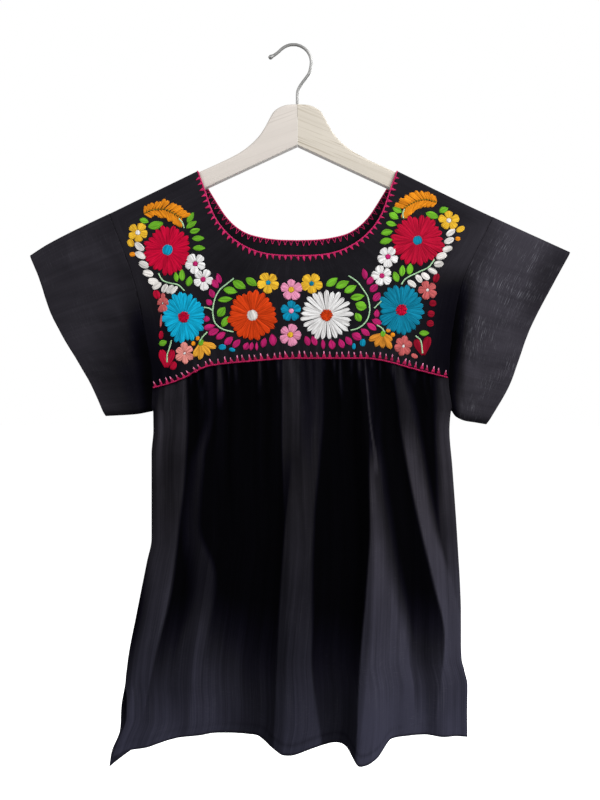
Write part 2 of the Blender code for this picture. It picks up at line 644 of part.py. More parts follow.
def build_sleeve(name, side, material):
    """A sleeve: a tube from the armhole to the open cuff, folded over the shoulder line."""
    halves = {panel: armhole_half(panel, side) for panel in (FRONT, BACK)}
    rings = []
    for k in range(SLEEVE_RINGS + 1):
        gap = ARMHOLE_GAP / 2 if k == 0 else 0.0
        rings.append([[CENTRE_X + side * (out + gap), depth, -drop]
                      for out, depth, drop in sleeve_ring(side, k / SLEEVE_RINGS, halves)])
    if side == LEFT:
        rings = [ring[::-1] for ring in rings]
    armhole = list(range(len(rings[0])))
    return cloth_wall(name, rings, material, ((armhole, 0),), closed=True)


# The hanger

def bar_section(out):
    """The ring of points round the hanger's bar this far from its centre line."""
    top = through(BAR_TOP, out)
    foot = BAR_APEX_DROP + BAR_UNDERSIDE_SLOPE * out
    taper = max(0.0, (out - HANGER_HALF_SPAN + ARM_END_TAPER) / ARM_END_TAPER)
    shrink = math.sqrt(max(0.0, 1 - taper ** 2))
    middle, half_height = (top + foot) / 2, (foot - top) / 2 * mix(ARM_TIP_HEIGHT_SHARE, 1.0, shrink)
    half_depth = HANGER_HALF_DEPTH * mix(ARM_TIP_DEPTH_SHARE, 1.0, shrink)
    ring = []
    for corner, (depth_sign, drop_sign) in enumerate(((-1, -1), (1, -1), (1, 1), (-1, 1))):
        radius = (ARM_TOP_ROUND if drop_sign < 0 else ARM_FOOT_ROUND) * mix(ARM_TIP_DEPTH_SHARE, 1.0, shrink)
        steps = ARM_TOP_ROUND_STEPS if drop_sign < 0 else ARM_FOOT_ROUND_STEPS
        for step in range(steps + 1):
            angle = math.pi + math.pi / 2 * (corner + step / steps)
            ring.append((depth_sign * (half_depth - radius) + radius * math.cos(angle),
                         middle + drop_sign * (half_height - radius) + radius * math.sin(angle)))
    return ring


def build_hanger_bar(material):
    """The hanger's block and two arms, drilled from above for the hook's stem."""
    outs = [row[0] for row in BAR_TOP if 0 < row[0] < HANGER_HALF_SPAN - ARM_END_TAPER]
    outs += [HANGER_HALF_SPAN - ARM_END_TAPER * (1 - share) for share in ARM_END_STATIONS]
    stations = [-out for out in reversed(outs)] + [0.0] + outs
    mesh = bmesh.new()
    rings = []
    for station in stations:
        rings.append([mesh.verts.new((CENTRE_X + station, depth, -drop))
                      for depth, drop in bar_section(abs(station))])
    count = len(rings[0])
    for near, far in zip(rings, rings[1:]):
        for i in range(count):
            j = (i + 1) % count
            mesh.faces.new((near[i], far[i], far[j], near[j]))
    mesh.faces.new(rings[0])
    mesh.faces.new(list(reversed(rings[-1])))
    bmesh.ops.recalc_face_normals(mesh, faces=mesh.faces)
    data = bpy.data.meshes.new("hanger_bar")
    mesh.to_mesh(data)
    mesh.free()
    bar = add_object("hanger_bar", data, material)
    drill_stem_bore(bar)
    bar.data.shade_smooth()
    bar.data.set_sharp_from_angle(angle=math.radians(BAR_SHARP_EDGE))
    return bar


def drill_stem_bore(bar):
    """Bores the block from its top, a little wider and deeper than the hook's stem."""
    bpy.ops.mesh.primitive_cylinder_add(vertices=STEM_BORE_SIDES,
                                        radius=WIRE_RADIUS + STEM_BORE_CLEARANCE,
                                        depth=2 * (STEM_IN_WOOD + STEM_BORE_CLEARANCE),
                                        location=(CENTRE_X, 0, -BAR_TOP[0][1]))
    drill = bpy.context.object
    drill.name = "stem_drill"
    drill.hide_render = True
    drill.display_type = "WIRE"
    bore = bar.modifiers.new("stem_bore", "BOOLEAN")
    bore.operation = "DIFFERENCE"
    bore.object = drill
    bore.solver = "EXACT"


def hook_route():
    """Centre line of the hook's wire, from the stem's foot to the tip, as (x, z, share of the radius)."""
    centre_z = WIRE_RADIUS - HOOK_BEND_RADIUS
    route = [(CENTRE_X, -BAR_TOP[0][1] - STEM_IN_WOOD, 1.0)] + [(x, z, 1.0) for x, z in SWAN_NECK]
    for degrees in range(HOOK_BEND_START, HOOK_BEND_END + 1, HOOK_BEND_STEP):
        angle = math.radians(degrees)
        route.append((HOOK_BEND_RADIUS * math.cos(angle), centre_z + HOOK_BEND_RADIUS * math.sin(angle), 1.0))
    lead = (-math.sin(math.radians(HOOK_BEND_END)), math.cos(math.radians(HOOK_BEND_END)))
    start = route[-1]
    for way, lift, size in HOOK_TIP:
        route.append((start[0] + lead[0] * way, start[1] + lead[1] * way + lift, size))
    return route


def build_hanger_hook(material):
    """The steel wire hook: a stem, a swan neck, the round bend over the rail and a turned-out tip."""
    curve = bpy.data.curves.new("hanger_hook", "CURVE")
    curve.dimensions = "3D"
    curve.bevel_depth = WIRE_RADIUS
    curve.bevel_resolution = 2
    curve.use_fill_caps = True
    route = hook_route()
    wire = curve.splines.new("POLY")
    wire.points.add(len(route) - 1)
    for point, (x, z, size) in zip(wire.points, route):
        point.co = (x, 0.0, z, 1.0)
        point.radius = size
    return add_object("hanger_hook", curve, material)


def main():
    """Builds the hanger, then the blouse from the yokes down to the sleeves."""
    clear_scene()
    cotton = finish("black_cotton", COTTON, 0.85)
    wood = finish("whitewashed_wood", ASH_WOOD, 0.6)
    steel = finish("steel_wire", STEEL, 0.3, metallic=1.0)
    build_hanger_bar(wood)
    build_hanger_hook(steel)
    build_yoke("front_yoke", FRONT, cotton)
    build_yoke("back_yoke", BACK, cotton)
    build_body("front_body", FRONT, cotton)
    build_body("back_body", BACK, cotton)
    build_sleeve("sleeve_left", LEFT, cotton)
    build_sleeve("sleeve_right", RIGHT, cotton)


main()
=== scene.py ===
"""Visual model of an embroidered cotton blouse that hangs on a wooden hanger.

Metres, with +Z up. The front faces -Y, the origin is the inner crest of the hanger's hook, and the
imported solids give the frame. "Drop" is a distance down from the origin, "out" a distance from the
hanger's centre line, "fall" a distance below the shoulder line, and "depth" a distance in front of, or
behind, the plane that halves the hanger.
"""

import logging
import math
from dataclasses import dataclass, field
from enum import Enum, IntEnum
from typing import Callable, Iterable, Sequence

import bmesh
import bpy
import numpy as np
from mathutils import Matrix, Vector


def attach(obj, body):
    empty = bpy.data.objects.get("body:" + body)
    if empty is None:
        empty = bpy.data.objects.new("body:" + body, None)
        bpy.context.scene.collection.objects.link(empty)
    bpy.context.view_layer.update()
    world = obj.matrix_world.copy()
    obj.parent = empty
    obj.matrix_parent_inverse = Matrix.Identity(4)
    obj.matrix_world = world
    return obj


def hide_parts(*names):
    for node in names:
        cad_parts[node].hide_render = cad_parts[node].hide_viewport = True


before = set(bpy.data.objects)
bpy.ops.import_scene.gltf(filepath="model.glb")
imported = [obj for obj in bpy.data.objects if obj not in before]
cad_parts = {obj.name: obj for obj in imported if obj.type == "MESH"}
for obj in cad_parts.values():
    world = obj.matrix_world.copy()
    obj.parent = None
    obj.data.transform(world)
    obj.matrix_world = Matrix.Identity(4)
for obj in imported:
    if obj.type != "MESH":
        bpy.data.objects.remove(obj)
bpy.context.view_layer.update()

LOG = logging.getLogger("blouse")
Array = np.ndarray
Colour = tuple[float, float, float]
Socket = bpy.types.NodeSocket


class Face(IntEnum):
    """The two faces of the blouse, each with the sign of its Y."""

    FRONT = -1
    BACK = 1


class Side(IntEnum):
    """The two sides as seen from the front, each with the sign of its X."""

    LEFT = -1
    RIGHT = 1


# Numbers and curves

def ease(t: Array | float) -> Array:
    """Rises smoothly from 0 at t = 0 to 1 at t = 1."""
    t = np.clip(t, 0.0, 1.0)
    return t * t * (3 - 2 * t)


def mix(low: Array | float, high: Array | float, share: Array | float) -> Array:
    """The value a share of the way from low to high."""
    return low + (high - low) * share


def noise_line(seed: int, count: int, at: Array) -> Array:
    """A smooth random line between -1 and 1.

    Args:
        seed: picks the line.
        count: how many random values it goes through between 0 and 1.
        at: places along it, from 0 to 1.

    Returns:
        The line's value at each place.
    """
    values = np.random.default_rng(seed).uniform(-1, 1, count + 3)
    place = np.clip(at, 0, 1) * count
    index = np.minimum(place.astype(int), count)
    return mix(values[index], values[index + 1], ease(place - index))


class Smooth:
    """A smooth curve through a table's rows, which never overshoots them."""

    def __init__(self, rows: Sequence[Sequence[float]], column: int = 1) -> None:
        """Fits the curve of one column over the first one."""
        self.places = np.array([row[0] for row in rows], dtype=float)
        self.values = np.array([row[column] for row in rows], dtype=float)
        self.step = np.diff(self.places)
        slope = np.diff(self.values) / self.step
        self.tangent = np.empty_like(self.values)
        self.tangent[0], self.tangent[-1] = slope[0], slope[-1]
        before, after = slope[:-1], slope[1:]
        turning = before * after <= 0
        total = np.where(turning, 1.0, before + after)
        self.tangent[1:-1] = np.where(turning, 0.0, 2 * before * after / total)

    def __call__(self, at: Array | float) -> Array:
        """The curve's value at each place, held at its ends."""
        at = np.asarray(at, dtype=float)
        i = np.clip(np.searchsorted(self.places, at) - 1, 0, len(self.step) - 1)
        t = np.clip((at - self.places[i]) / self.step[i], 0.0, 1.0)
        leaving, arriving = self.tangent[i] * self.step[i], self.tangent[i + 1] * self.step[i]
        return (self.values[i] * (1 + 2 * t) * (1 - t) ** 2 + leaving * t * (1 - t) ** 2
                + self.values[i + 1] * (3 - 2 * t) * t ** 2 - arriving * (1 - t) * t ** 2)


def distances(route: Array) -> Array:
    """The distance along a route at each of its points."""
    return np.concatenate([[0], np.cumsum(np.linalg.norm(np.diff(route, axis=0), axis=1))])


def spaced(route: Array, count: int) -> Array:
    """Evenly spaced points along a route.

    Args:
        route: points along it, one a row.
        count: how many steps to take.

    Returns:
        count + 1 points.
    """
    length = distances(route)
    ways = np.linspace(0, length[-1], count + 1)
    return np.stack([np.interp(ways, length, route[:, i]) for i in range(route.shape[1])], axis=1)


# The garment's cut

@dataclass(frozen=True)
class Cut:
    """Sizes of the blouse, as the solids have them."""

    centre_x: float = 0.0045
    shoulder_flat: float = 0.0025
    shoulder_round: float = 0.0055
    neck_point: float = 0.1145
    underarm: float = 0.4195
    side_blend: float = 0.070
    bulge_reach: float = 0.022
    armhole_bulge: float = 0.005
    cuff_bulge: float = 0.009
    yoke_gain: dict = field(default_factory=lambda: {Face.FRONT: 0.010, Face.BACK: 0.006})
    yoke_reach: float = 0.200
    body_gain: dict = field(default_factory=lambda: {Face.FRONT: 0.005, Face.BACK: 0.003})
    # Rows of (out, drop)
    shoulder: dict = field(default_factory=lambda: {
        Side.LEFT: ((0.0, 0.0891), (0.1145, 0.1446), (0.205, 0.1885), (0.2863, 0.2286), (0.3062, 0.2413)),
        Side.RIGHT: ((0.0, 0.0891), (0.1145, 0.1446), (0.205, 0.1885), (0.3125, 0.2376))})
    # Rows of (drop, out)
    neckline: dict = field(default_factory=lambda: {
        Face.FRONT: ((0.1446, 0.1145), (0.163, 0.1075), (0.181, 0.1015), (0.194, 0.0965), (0.208, 0.0880),
                     (0.2195, 0.0775), (0.2275, 0.0675), (0.2355, 0.0530), (0.2405, 0.0370),
                     (0.2428, 0.0185), (0.2433, 0.0)),
        Face.BACK: ((0.1446, 0.1145), (0.158, 0.1065), (0.168, 0.1005), (0.181, 0.0925), (0.195, 0.0830),
                    (0.2065, 0.0715), (0.2145, 0.0580), (0.2190, 0.0410), (0.2215, 0.0210),
                    (0.2220, 0.0))})
    # Rows of (out, drop), left to right
    seam: dict = field(default_factory=lambda: {
        Face.FRONT: ((-0.1660, 0.3940), (-0.1450, 0.3885), (-0.1280, 0.3820), (-0.1120, 0.3735),
                     (-0.1000, 0.3690), (-0.0560, 0.3640), (0.0, 0.3605), (0.0780, 0.3605),
                     (0.0970, 0.3630), (0.1290, 0.3715), (0.1730, 0.3825)),
        Face.BACK: ((-0.1660, 0.3900), (-0.1280, 0.3790), (-0.0560, 0.3640), (0.0, 0.3610),
                    (0.0780, 0.3640), (0.1290, 0.3760), (0.1730, 0.3850))})
    # Rows of (drop, out)
    armhole: dict = field(default_factory=lambda: {
        Side.LEFT: ((0.1935, 0.2150), (0.2780, 0.1840), (0.3390, 0.1720), (0.3850, 0.1655),
                    (0.4195, 0.1667)),
        Side.RIGHT: ((0.1975, 0.2237), (0.2780, 0.1860), (0.3390, 0.1752), (0.3845, 0.1725),
                     (0.4195, 0.1775))})
    # Rows of (drop, out, depth of the seam towards the front)
    side_seam: dict = field(default_factory=lambda: {
        Side.LEFT: ((0.4195, 0.1655, 0.0), (0.4414, 0.1652, 0.0), (0.4690, 0.1673, 0.0),
                    (0.5656, 0.1673, 0.0), (0.5930, 0.1725, 0.002), (0.6484, 0.1832, 0.005),
                    (0.7036, 0.1935, 0.007), (0.7312, 0.1965, 0.0077)),
        Side.RIGHT: ((0.4195, 0.1762, 0.0), (0.4414, 0.1745, 0.0), (0.4828, 0.1777, 0.0),
                     (0.5656, 0.1835, 0.0), (0.6208, 0.1865, 0.002), (0.6484, 0.1873, 0.003),
                     (0.6898, 0.1872, 0.005), (0.7036, 0.1878, 0.006))})
    # Rows of (drop, out, depth)
    slit: dict = field(default_factory=lambda: {
        (Face.FRONT, Side.LEFT): ((0.7476, 0.1948, 0.0095), (0.7676, 0.1945, 0.0130),
                                  (0.7925, 0.2030, 0.0180), (0.8117, 0.2096, 0.0220)),
        (Face.BACK, Side.LEFT): ((0.7588, 0.2018, -0.0020), (0.7864, 0.2041, 0.0030),
                                 (0.8140, 0.2145, 0.0045), (0.8300, 0.2170, 0.0050)),
        (Face.FRONT, Side.RIGHT): ((0.7174, 0.1912, 0.0085), (0.7312, 0.1940, 0.0110),
                                   (0.7657, 0.1930, 0.0150), (0.7889, 0.1929, 0.0180)),
        (Face.BACK, Side.RIGHT): ((0.7174, 0.1912, -0.0040), (0.7400, 0.1930, 0.0),
                                  (0.7657, 0.1925, 0.0030), (0.7889, 0.1920, 0.0040))})
    # Rows of (out, drop), left to right
    hem: dict = field(default_factory=lambda: {
        Face.FRONT: ((-0.2096, 0.8117), (-0.1910, 0.8035), (-0.1550, 0.7937), (-0.1190, 0.7850),
                     (-0.0825, 0.7825), (-0.0465, 0.7850), (-0.0285, 0.7970), (-0.0105, 0.8015),
                     (0.0075, 0.7985), (0.0255, 0.7960), (0.0435, 0.7935), (0.0545, 0.7960),
                     (0.0690, 0.8120), (0.0875, 0.8050), (0.1065, 0.7880), (0.1425, 0.7852),
                     (0.1929, 0.7889)),
        Face.BACK: ((-0.2170, 0.8300), (-0.1850, 0.8080), (-0.1400, 0.7920), (-0.0900, 0.7830),
                    (-0.0550, 0.7880), (-0.0100, 0.7830), (0.0400, 0.7890), (0.0900, 0.7820),
                    (0.1300, 0.7860), (0.1920, 0.7889))})
    # Rows of (drop, out)
    cuff: dict = field(default_factory=lambda: {
        Side.LEFT: ((0.2413, 0.3062), (0.2690, 0.2940), (0.3055, 0.2810), (0.3330, 0.2672),
                    (0.3615, 0.2505), (0.3905, 0.2345), (0.4250, 0.2200)),
        Side.RIGHT: ((0.2376, 0.3125), (0.2730, 0.2922), (0.3115, 0.2712), (0.3370, 0.2595),
                     (0.3625, 0.2510), (0.3895, 0.2415), (0.4345, 0.2168))})
    # Rows of (share of the way to the cuff, sag of the seam under the arm)
    sag: dict = field(default_factory=lambda: {
        Side.LEFT: ((0.0, 0.0), (0.35, 0.0015), (1.0, 0.0)),
        Side.RIGHT: ((0.0, 0.0), (0.12, 0.0045), (0.30, 0.0055), (0.70, 0.0025), (1.0, 0.0))})
    # Places just above the underarm that a panel's edge goes through, as shares of the shoulder's half
    # thickness
    underarm_stations: tuple = (1.0, 0.5, 1 / 7)
    # Rows of (drop, painted light of the cloth, from 0 for painted shade to 1 for a painted highlight)
    armhole_tones: dict = field(default_factory=lambda: {
        Side.LEFT: ((0.19, 0.72), (0.27, 0.70), (0.33, 0.46), (0.37, 0.38), (0.42, 0.40)),
        Side.RIGHT: ((0.19, 0.86), (0.25, 0.82), (0.285, 0.46), (0.33, 0.40), (0.42, 0.44))})

    @property
    def edge_round(self) -> float:
        """Half the thickness of the blouse at a shoulder."""
        return self.shoulder_flat + self.shoulder_round

    @property
    def round_run(self) -> float:
        """The run of cloth from the ridge to the end of the shoulder's round."""
        return self.shoulder_flat + self.shoulder_round * math.pi / 2

    def shoulder_drop(self, out: Array) -> Array:
        """Drop of the shoulder line at each signed distance out."""
        out = np.asarray(out, dtype=float)
        lines = {side: Smooth(self.shoulder[side])(np.abs(out)) for side in Side}
        return np.where(out < 0, lines[Side.LEFT], lines[Side.RIGHT])

    def section(self, run: Array) -> tuple[Array, Array]:
        """The cloth's cross-section over the hanger's arm.

        Args:
            run: runs of cloth from the ridge.

        Returns:
            The depth and the fall at each run.
        """
        run = np.maximum(np.asarray(run, dtype=float), 0.0)
        turn = np.clip((run - self.shoulder_flat) / self.shoulder_round, 0, math.pi / 2)
        depth = np.minimum(run, self.shoulder_flat) + self.shoulder_round * np.sin(turn)
        fall = self.shoulder_round * (1 - np.cos(turn)) + np.maximum(run - self.round_run, 0.0)
        return depth, fall

    def run_for_fall(self, fall: Array) -> Array:
        """The run of cloth that ends this far below the ridge."""
        fall = np.asarray(fall, dtype=float)
        turn = np.arccos(np.clip(1 - fall / self.shoulder_round, 0.0, 1.0))
        over = self.shoulder_flat + self.shoulder_round * turn
        return np.where(fall <= 0, 0.0, over + np.maximum(fall - self.shoulder_round, 0.0))

    def bulge(self, side: Side, drop: Array) -> Array:
        """How far an armhole stands out past the shoulder's half thickness."""
        top = self.armhole[side][0][0]
        return self.armhole_bulge * np.sin(math.pi * np.clip((drop - top) / (self.underarm - top), 0, 1))

    def armhole_depth(self, side: Side, drop: Array) -> Array:
        """Half the thickness of a sleeve at its armhole, closing round the underarm."""
        above = np.clip((self.underarm - np.asarray(drop, dtype=float)) / self.edge_round, 0.0, 1.0)
        return (self.edge_round + self.bulge(side, drop)) * np.sin(np.arccos(1 - above))

    def yoke_depth(self, face: Face, out: Array, drop: Array, run: Array | None = None) -> Array:
        """Depth of a yoke's cloth.

        Args:
            face: the front or the back yoke.
            out: signed distances out from the centre line.
            drop: drops.
            run: runs of cloth from the ridge, where they are known.

        Returns:
            The depth at each place, positive on both faces.
        """
        fall = drop - self.shoulder_drop(out)
        base = self.section(self.run_for_fall(fall) if run is None else run)[0]
        middle = self.yoke_gain[face] * ease((fall - self.shoulder_round) / self.yoke_reach)
        grown = ease((fall - self.shoulder_round) / self.bulge_reach)
        depths = []
        for side in Side:
            inside = Smooth(self.armhole[side])(drop) - np.abs(out)
            depths.append(mix(self.bulge(side, drop) * grown, middle, ease(inside / self.side_blend)))
        return base + np.where(out < 0, depths[0], depths[1])

    def armhole_painted_light(self, side: Side, drop: Array) -> Array:
        """The painted light along an armhole, from 0 for painted shade to 1 for a painted highlight."""
        return Smooth(self.armhole_tones[side])(np.asarray(drop, dtype=float))

    def edge(self, face: Face, side: Side) -> tuple[Smooth, Smooth]:
        """The edge of a gathered panel: how far out it is, and its depth, at each drop."""
        rows = [(drop, out, float(self.armhole_depth(side, drop))) for drop, out in self.armhole[side][2:-1]]
        for share in self.underarm_stations:
            drop = self.underarm - share * self.edge_round
            out = float(Smooth(self.armhole[side])(drop))
            rows.append((drop, out, float(self.armhole_depth(side, drop))))
        rows += [(drop, out, -face * depth) for drop, out, depth in self.side_seam[side]]
        rows += list(self.slit[face, side])
        return Smooth(rows, 1), Smooth(rows, 2)


CUT = Cut()


# Meshes

Place = Callable[[Array, Array], Array]


def grid_sheet(name: str, columns: int, rows: int, place: Place, cloth_size: tuple[float, float],
               welds: bool = False) -> bpy.types.Object:
    """A sheet whose points follow a rule.

    Args:
        name: the piece's name.
        columns: spans across it.
        rows: spans down it.
        place: gives the points for shares of the way across and down, as rows of x, y, z and the painted
        light there, from 0 for painted shade in the bottom of a fold to 1 for a painted highlight on its
        ridge.
        cloth_size: width and length of the flat cloth, which its UV map measures in metres.
        welds: whether its left and right edges meet and are joined.

    Returns:
        The new object, at the origin.
    """
    mesh = bmesh.new()
    bmesh.ops.create_grid(mesh, x_segments=columns, y_segments=rows, size=0.5, calc_uvs=False)
    flat = np.array([vert.co[:2] for vert in mesh.verts])
    across, down = np.round(flat[:, 0] + 0.5, 6), np.round(0.5 - flat[:, 1], 6)
    points = place(across, down)
    # The rise attribute carries the painted light and shade to the cloth's material
    rise = mesh.verts.layers.float.new("rise")
    for vert, point in zip(mesh.verts, points):
        vert.co = point[:3]
        vert[rise] = point[3]
    layer = mesh.loops.layers.uv.new("cloth")
    for cell in mesh.faces:
        for loop in cell.loops:
            index = loop.vert.index
            loop[layer].uv = (across[index] * cloth_size[0], (1 - down[index]) * cloth_size[1])
    if welds:
        bmesh.ops.remove_doubles(mesh, verts=mesh.verts, dist=1e-6)
    return link(name, mesh)


def link(name: str, mesh: bmesh.types.BMesh) -> bpy.types.Object:
    """Makes a smooth object of a finished bmesh, and frees it."""
    data = bpy.data.meshes.new(name)
    mesh.to_mesh(data)
    mesh.free()
    data.shade_smooth()
    obj = bpy.data.objects.new(name, data)
    bpy.context.collection.objects.link(obj)
    return obj


def thicken(obj: bpy.types.Object, thickness: float) -> None:
    """Gives a sheet the thickness of its cloth, half on each side."""
    wall = obj.modifiers.new("cloth", "SOLIDIFY")
    wall.thickness = thickness
    wall.offset = 0.0
    wall.use_even_offset = False


def dress(obj: bpy.types.Object, material: bpy.types.Material) -> bpy.types.Object:
    """Puts a piece in its material and on its body."""
    obj.data.materials.clear()
    obj.data.materials.append(material)
    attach(obj, "root")
    return obj


# Finishes

@dataclass(frozen=True)
class Grain:
    """A noise pattern: how often it turns along each axis, in a metre, and its detail."""

    turns: tuple[float, float, float]
    detail: float = 2.0


class Nodes:
    """A short way to build a material's nodes."""

    def __init__(self, name: str) -> None:
        """Starts a material with its shader and output."""
        self.material = bpy.data.materials.new(name)
        self.material.use_nodes = True
        self.tree = self.material.node_tree
        self.shader = self.tree.nodes["Principled BSDF"]

    def add(self, kind: str, **values: object) -> bpy.types.Node:
        """Adds a node.

        Args:
            kind: its type, without the ShaderNode in front.
            values: its properties, or its inputs by name with spaces as underscores.

        Returns:
            The node.
        """
        node = self.tree.nodes.new("ShaderNode" + kind)
        for key, value in values.items():
            if hasattr(node, key):
                setattr(node, key, value)
            else:
                node.inputs[key.replace("_", " ")].default_value = value
        return node

    def join(self, source: Socket | Colour | float, target: Socket) -> None:
        """Links a socket to another one, or gives it a colour or a number."""
        if isinstance(source, bpy.types.NodeSocket):
            self.tree.links.new(source, target)
        else:
            target.default_value = (*source, 1) if isinstance(source, tuple) else source

    def combine(self, operation: str, first: Socket, second: Socket | float) -> Socket:
        """One value from two, by a Math node."""
        node = self.add("Math", operation=operation)
        self.join(first, node.inputs[0])
        self.join(second, node.inputs[1])
        return node.outputs[0]

    def ramp(self, source: Socket, low: float, high: float, start: float, end: float) -> Socket:
        """Maps a value from low..high to start..end, and holds it there."""
        node = self.add("MapRange", From_Min=low, From_Max=high, To_Min=start, To_Max=end)
        self.join(source, node.inputs["Value"])
        return node.outputs["Result"]

    def blend(self, share: Socket, low: Socket | Colour, high: Socket | Colour) -> Socket:
        """A colour between two, by a share."""
        node = self.add("Mix", data_type="RGBA")
        self.join(share, node.inputs["Factor"])
        self.join(low, node.inputs["A"])
        self.join(high, node.inputs["B"])
        return node.outputs["Result"]

    def split(self, vector: Socket, axis: str) -> Socket:
        """One axis of a vector."""
        node = self.add("SeparateXYZ")
        self.join(vector, node.inputs["Vector"])
        return node.outputs[axis]

    def noise(self, vector: Socket, grain: Grain) -> Socket:
        """A noise pattern over coordinates in metres."""
        mapping = self.add("Mapping", Scale=grain.turns)
        self.join(vector, mapping.inputs["Vector"])
        node = self.add("TexNoise", Scale=1.0, Detail=grain.detail)
        self.join(mapping.outputs["Vector"], node.inputs["Vector"])
        return node.outputs["Fac"]

    def bump(self, heights: Iterable[tuple[Socket, float, float]]) -> None:
        """Stacks bumps on the shader.

        Args:
            heights: height sockets, each with its strength and its distance in metres.
        """
        last = None
        for height, strength, distance in heights:
            node = self.add("Bump", Strength=strength, Distance=distance)
            self.join(height, node.inputs["Height"])
            if last is not None:
                self.join(last, node.inputs["Normal"])
            last = node.outputs["Normal"]
        self.join(last, self.shader.inputs["Normal"])

    def set(self, **values: object) -> None:
        """Sets constants on the shader's own sockets."""
        for key, value in values.items():
            self.shader.inputs[key.replace("_", " ")].default_value = value


@dataclass(frozen=True)
class BlackCotton:
    """Matte black cotton in plain weave, with painted highlights on its ridges, painted shade in its folds
    and a painted blue sheen towards the hem, and with thicker yarns here and there.

    The thick yarns of the weft lie along the cloth's U, and those of the warp along its V.
    """

    name: str = "black_cotton"
    weft_slubs: float = 0.10
    warp_slubs: float = 0.42
    streaks: float = 0.05
    # Painted shade in the folds' bottoms, painted light on their ridges, a painted blue sheen towards the hem
    # and a painted violet half-shade between; the slub colour is the thick yarns' own
    fold_shade: Colour = (0.0003, 0.0003, 0.0004)
    ridge_light: Colour = (0.0375, 0.0345, 0.0440)
    hem: Colour = (0.0375, 0.0375, 0.0600)
    half_shade: Colour = (0.0310, 0.0265, 0.0640)
    slub: Colour = (0.165, 0.165, 0.190)
    sheen_heights: tuple = (-0.80, -0.52)
    half_shade_rises: tuple = (0.34, 0.60)
    contrast: float = 3.0
    patches: Grain = Grain((16, 16, 16), 3)
    # Streaks of painted crease shade in the painted light
    close_crease_shade: Grain = Grain((430, 5, 1))
    wide_crease_shade: Grain = Grain((90, 4, 1))
    weft: Grain = Grain((75, 1250, 1))
    warp: Grain = Grain((1100, 14, 1))
    slub_patches: Grain = Grain((22, 22, 22))
    fine_weft: Grain = Grain((250, 2600, 1), 1)
    fine_warp: Grain = Grain((2600, 250, 1), 1)
    crumple: Grain = Grain((60, 36, 60), 3)

    def tone(self, nodes: Nodes, cloth: Socket) -> tuple[Socket, Socket]:
        """The colour of the plain weave, from the painted shade of a fold's bottom to the painted highlight
        on its ridge.

        Args:
            nodes: the material's nodes.
            cloth: the cloth's UV map.

        Returns:
            The colour, and how much painted light it has.
        """
        rise = nodes.add("Attribute", attribute_name="rise").outputs["Fac"]
        # The painted light from the rise attribute, broken up by streaks of painted crease shade and by
        # patches
        creases = nodes.combine("ADD", nodes.noise(cloth, self.close_crease_shade),
                                nodes.noise(cloth, self.wide_crease_shade))
        uneven = nodes.combine("MULTIPLY",
                               nodes.ramp(creases, 0.7, 1.3, 1 - self.streaks, 1 + self.streaks),
                               nodes.ramp(nodes.noise(cloth, self.patches), 0.3, 0.7, 0.95, 1.05))
        light_share = nodes.combine("POWER", nodes.combine("MULTIPLY", rise, uneven), self.contrast)
        # A painted blue sheen towards the hem, a painted violet half-shade between the folds' bottoms and
        # ridges, and painted shade in the bottoms
        height = nodes.split(nodes.add("TexCoord").outputs["Object"], "Z")
        blue_sheened = nodes.blend(nodes.ramp(height, *self.sheen_heights, 1.0, 0.0), self.ridge_light, self.hem)
        lit = nodes.blend(nodes.ramp(rise, *self.half_shade_rises, 0.0, 1.0), self.half_shade, blue_sheened)
        return nodes.blend(light_share, self.fold_shade, lit), light_share

    def build(self) -> bpy.types.Material:
        """The material, whose weave runs along the cloth's own UV map, in metres."""
        nodes = Nodes(self.name)
        cloth = nodes.add("UVMap", uv_map="cloth").outputs["UV"]
        tone, light_share = self.tone(nodes, cloth)
        weft, warp = nodes.noise(cloth, self.weft), nodes.noise(cloth, self.warp)
        slubs = nodes.combine("MAXIMUM", nodes.ramp(weft, 0.56, 0.74, 0, self.weft_slubs),
                              nodes.ramp(warp, 0.60, 0.82, 0, self.warp_slubs))
        patches = nodes.ramp(nodes.noise(cloth, self.slub_patches), 0.44, 0.60, 0.15, 1.0)
        # The slubs show only as far as the painted light reaches
        strength = nodes.combine("MULTIPLY", slubs, nodes.combine("MULTIPLY", patches, light_share))
        nodes.join(nodes.blend(strength, tone, self.slub), nodes.shader.inputs["Base Color"])
        nodes.bump(((nodes.noise(cloth, self.crumple), 0.5, 0.0012), (weft, 0.35, 0.0003),
                    (warp, 0.35, 0.0003), (nodes.noise(cloth, self.fine_weft), 0.4, 0.00015),
                    (nodes.noise(cloth, self.fine_warp), 0.4, 0.00015)))
        nodes.set(Roughness=0.95, Specular_IOR_Level=0.02, Sheen_Weight=0.007, Sheen_Roughness=0.4,
                  Sheen_Tint=(0.80, 0.80, 1.0, 1))
        return nodes.material


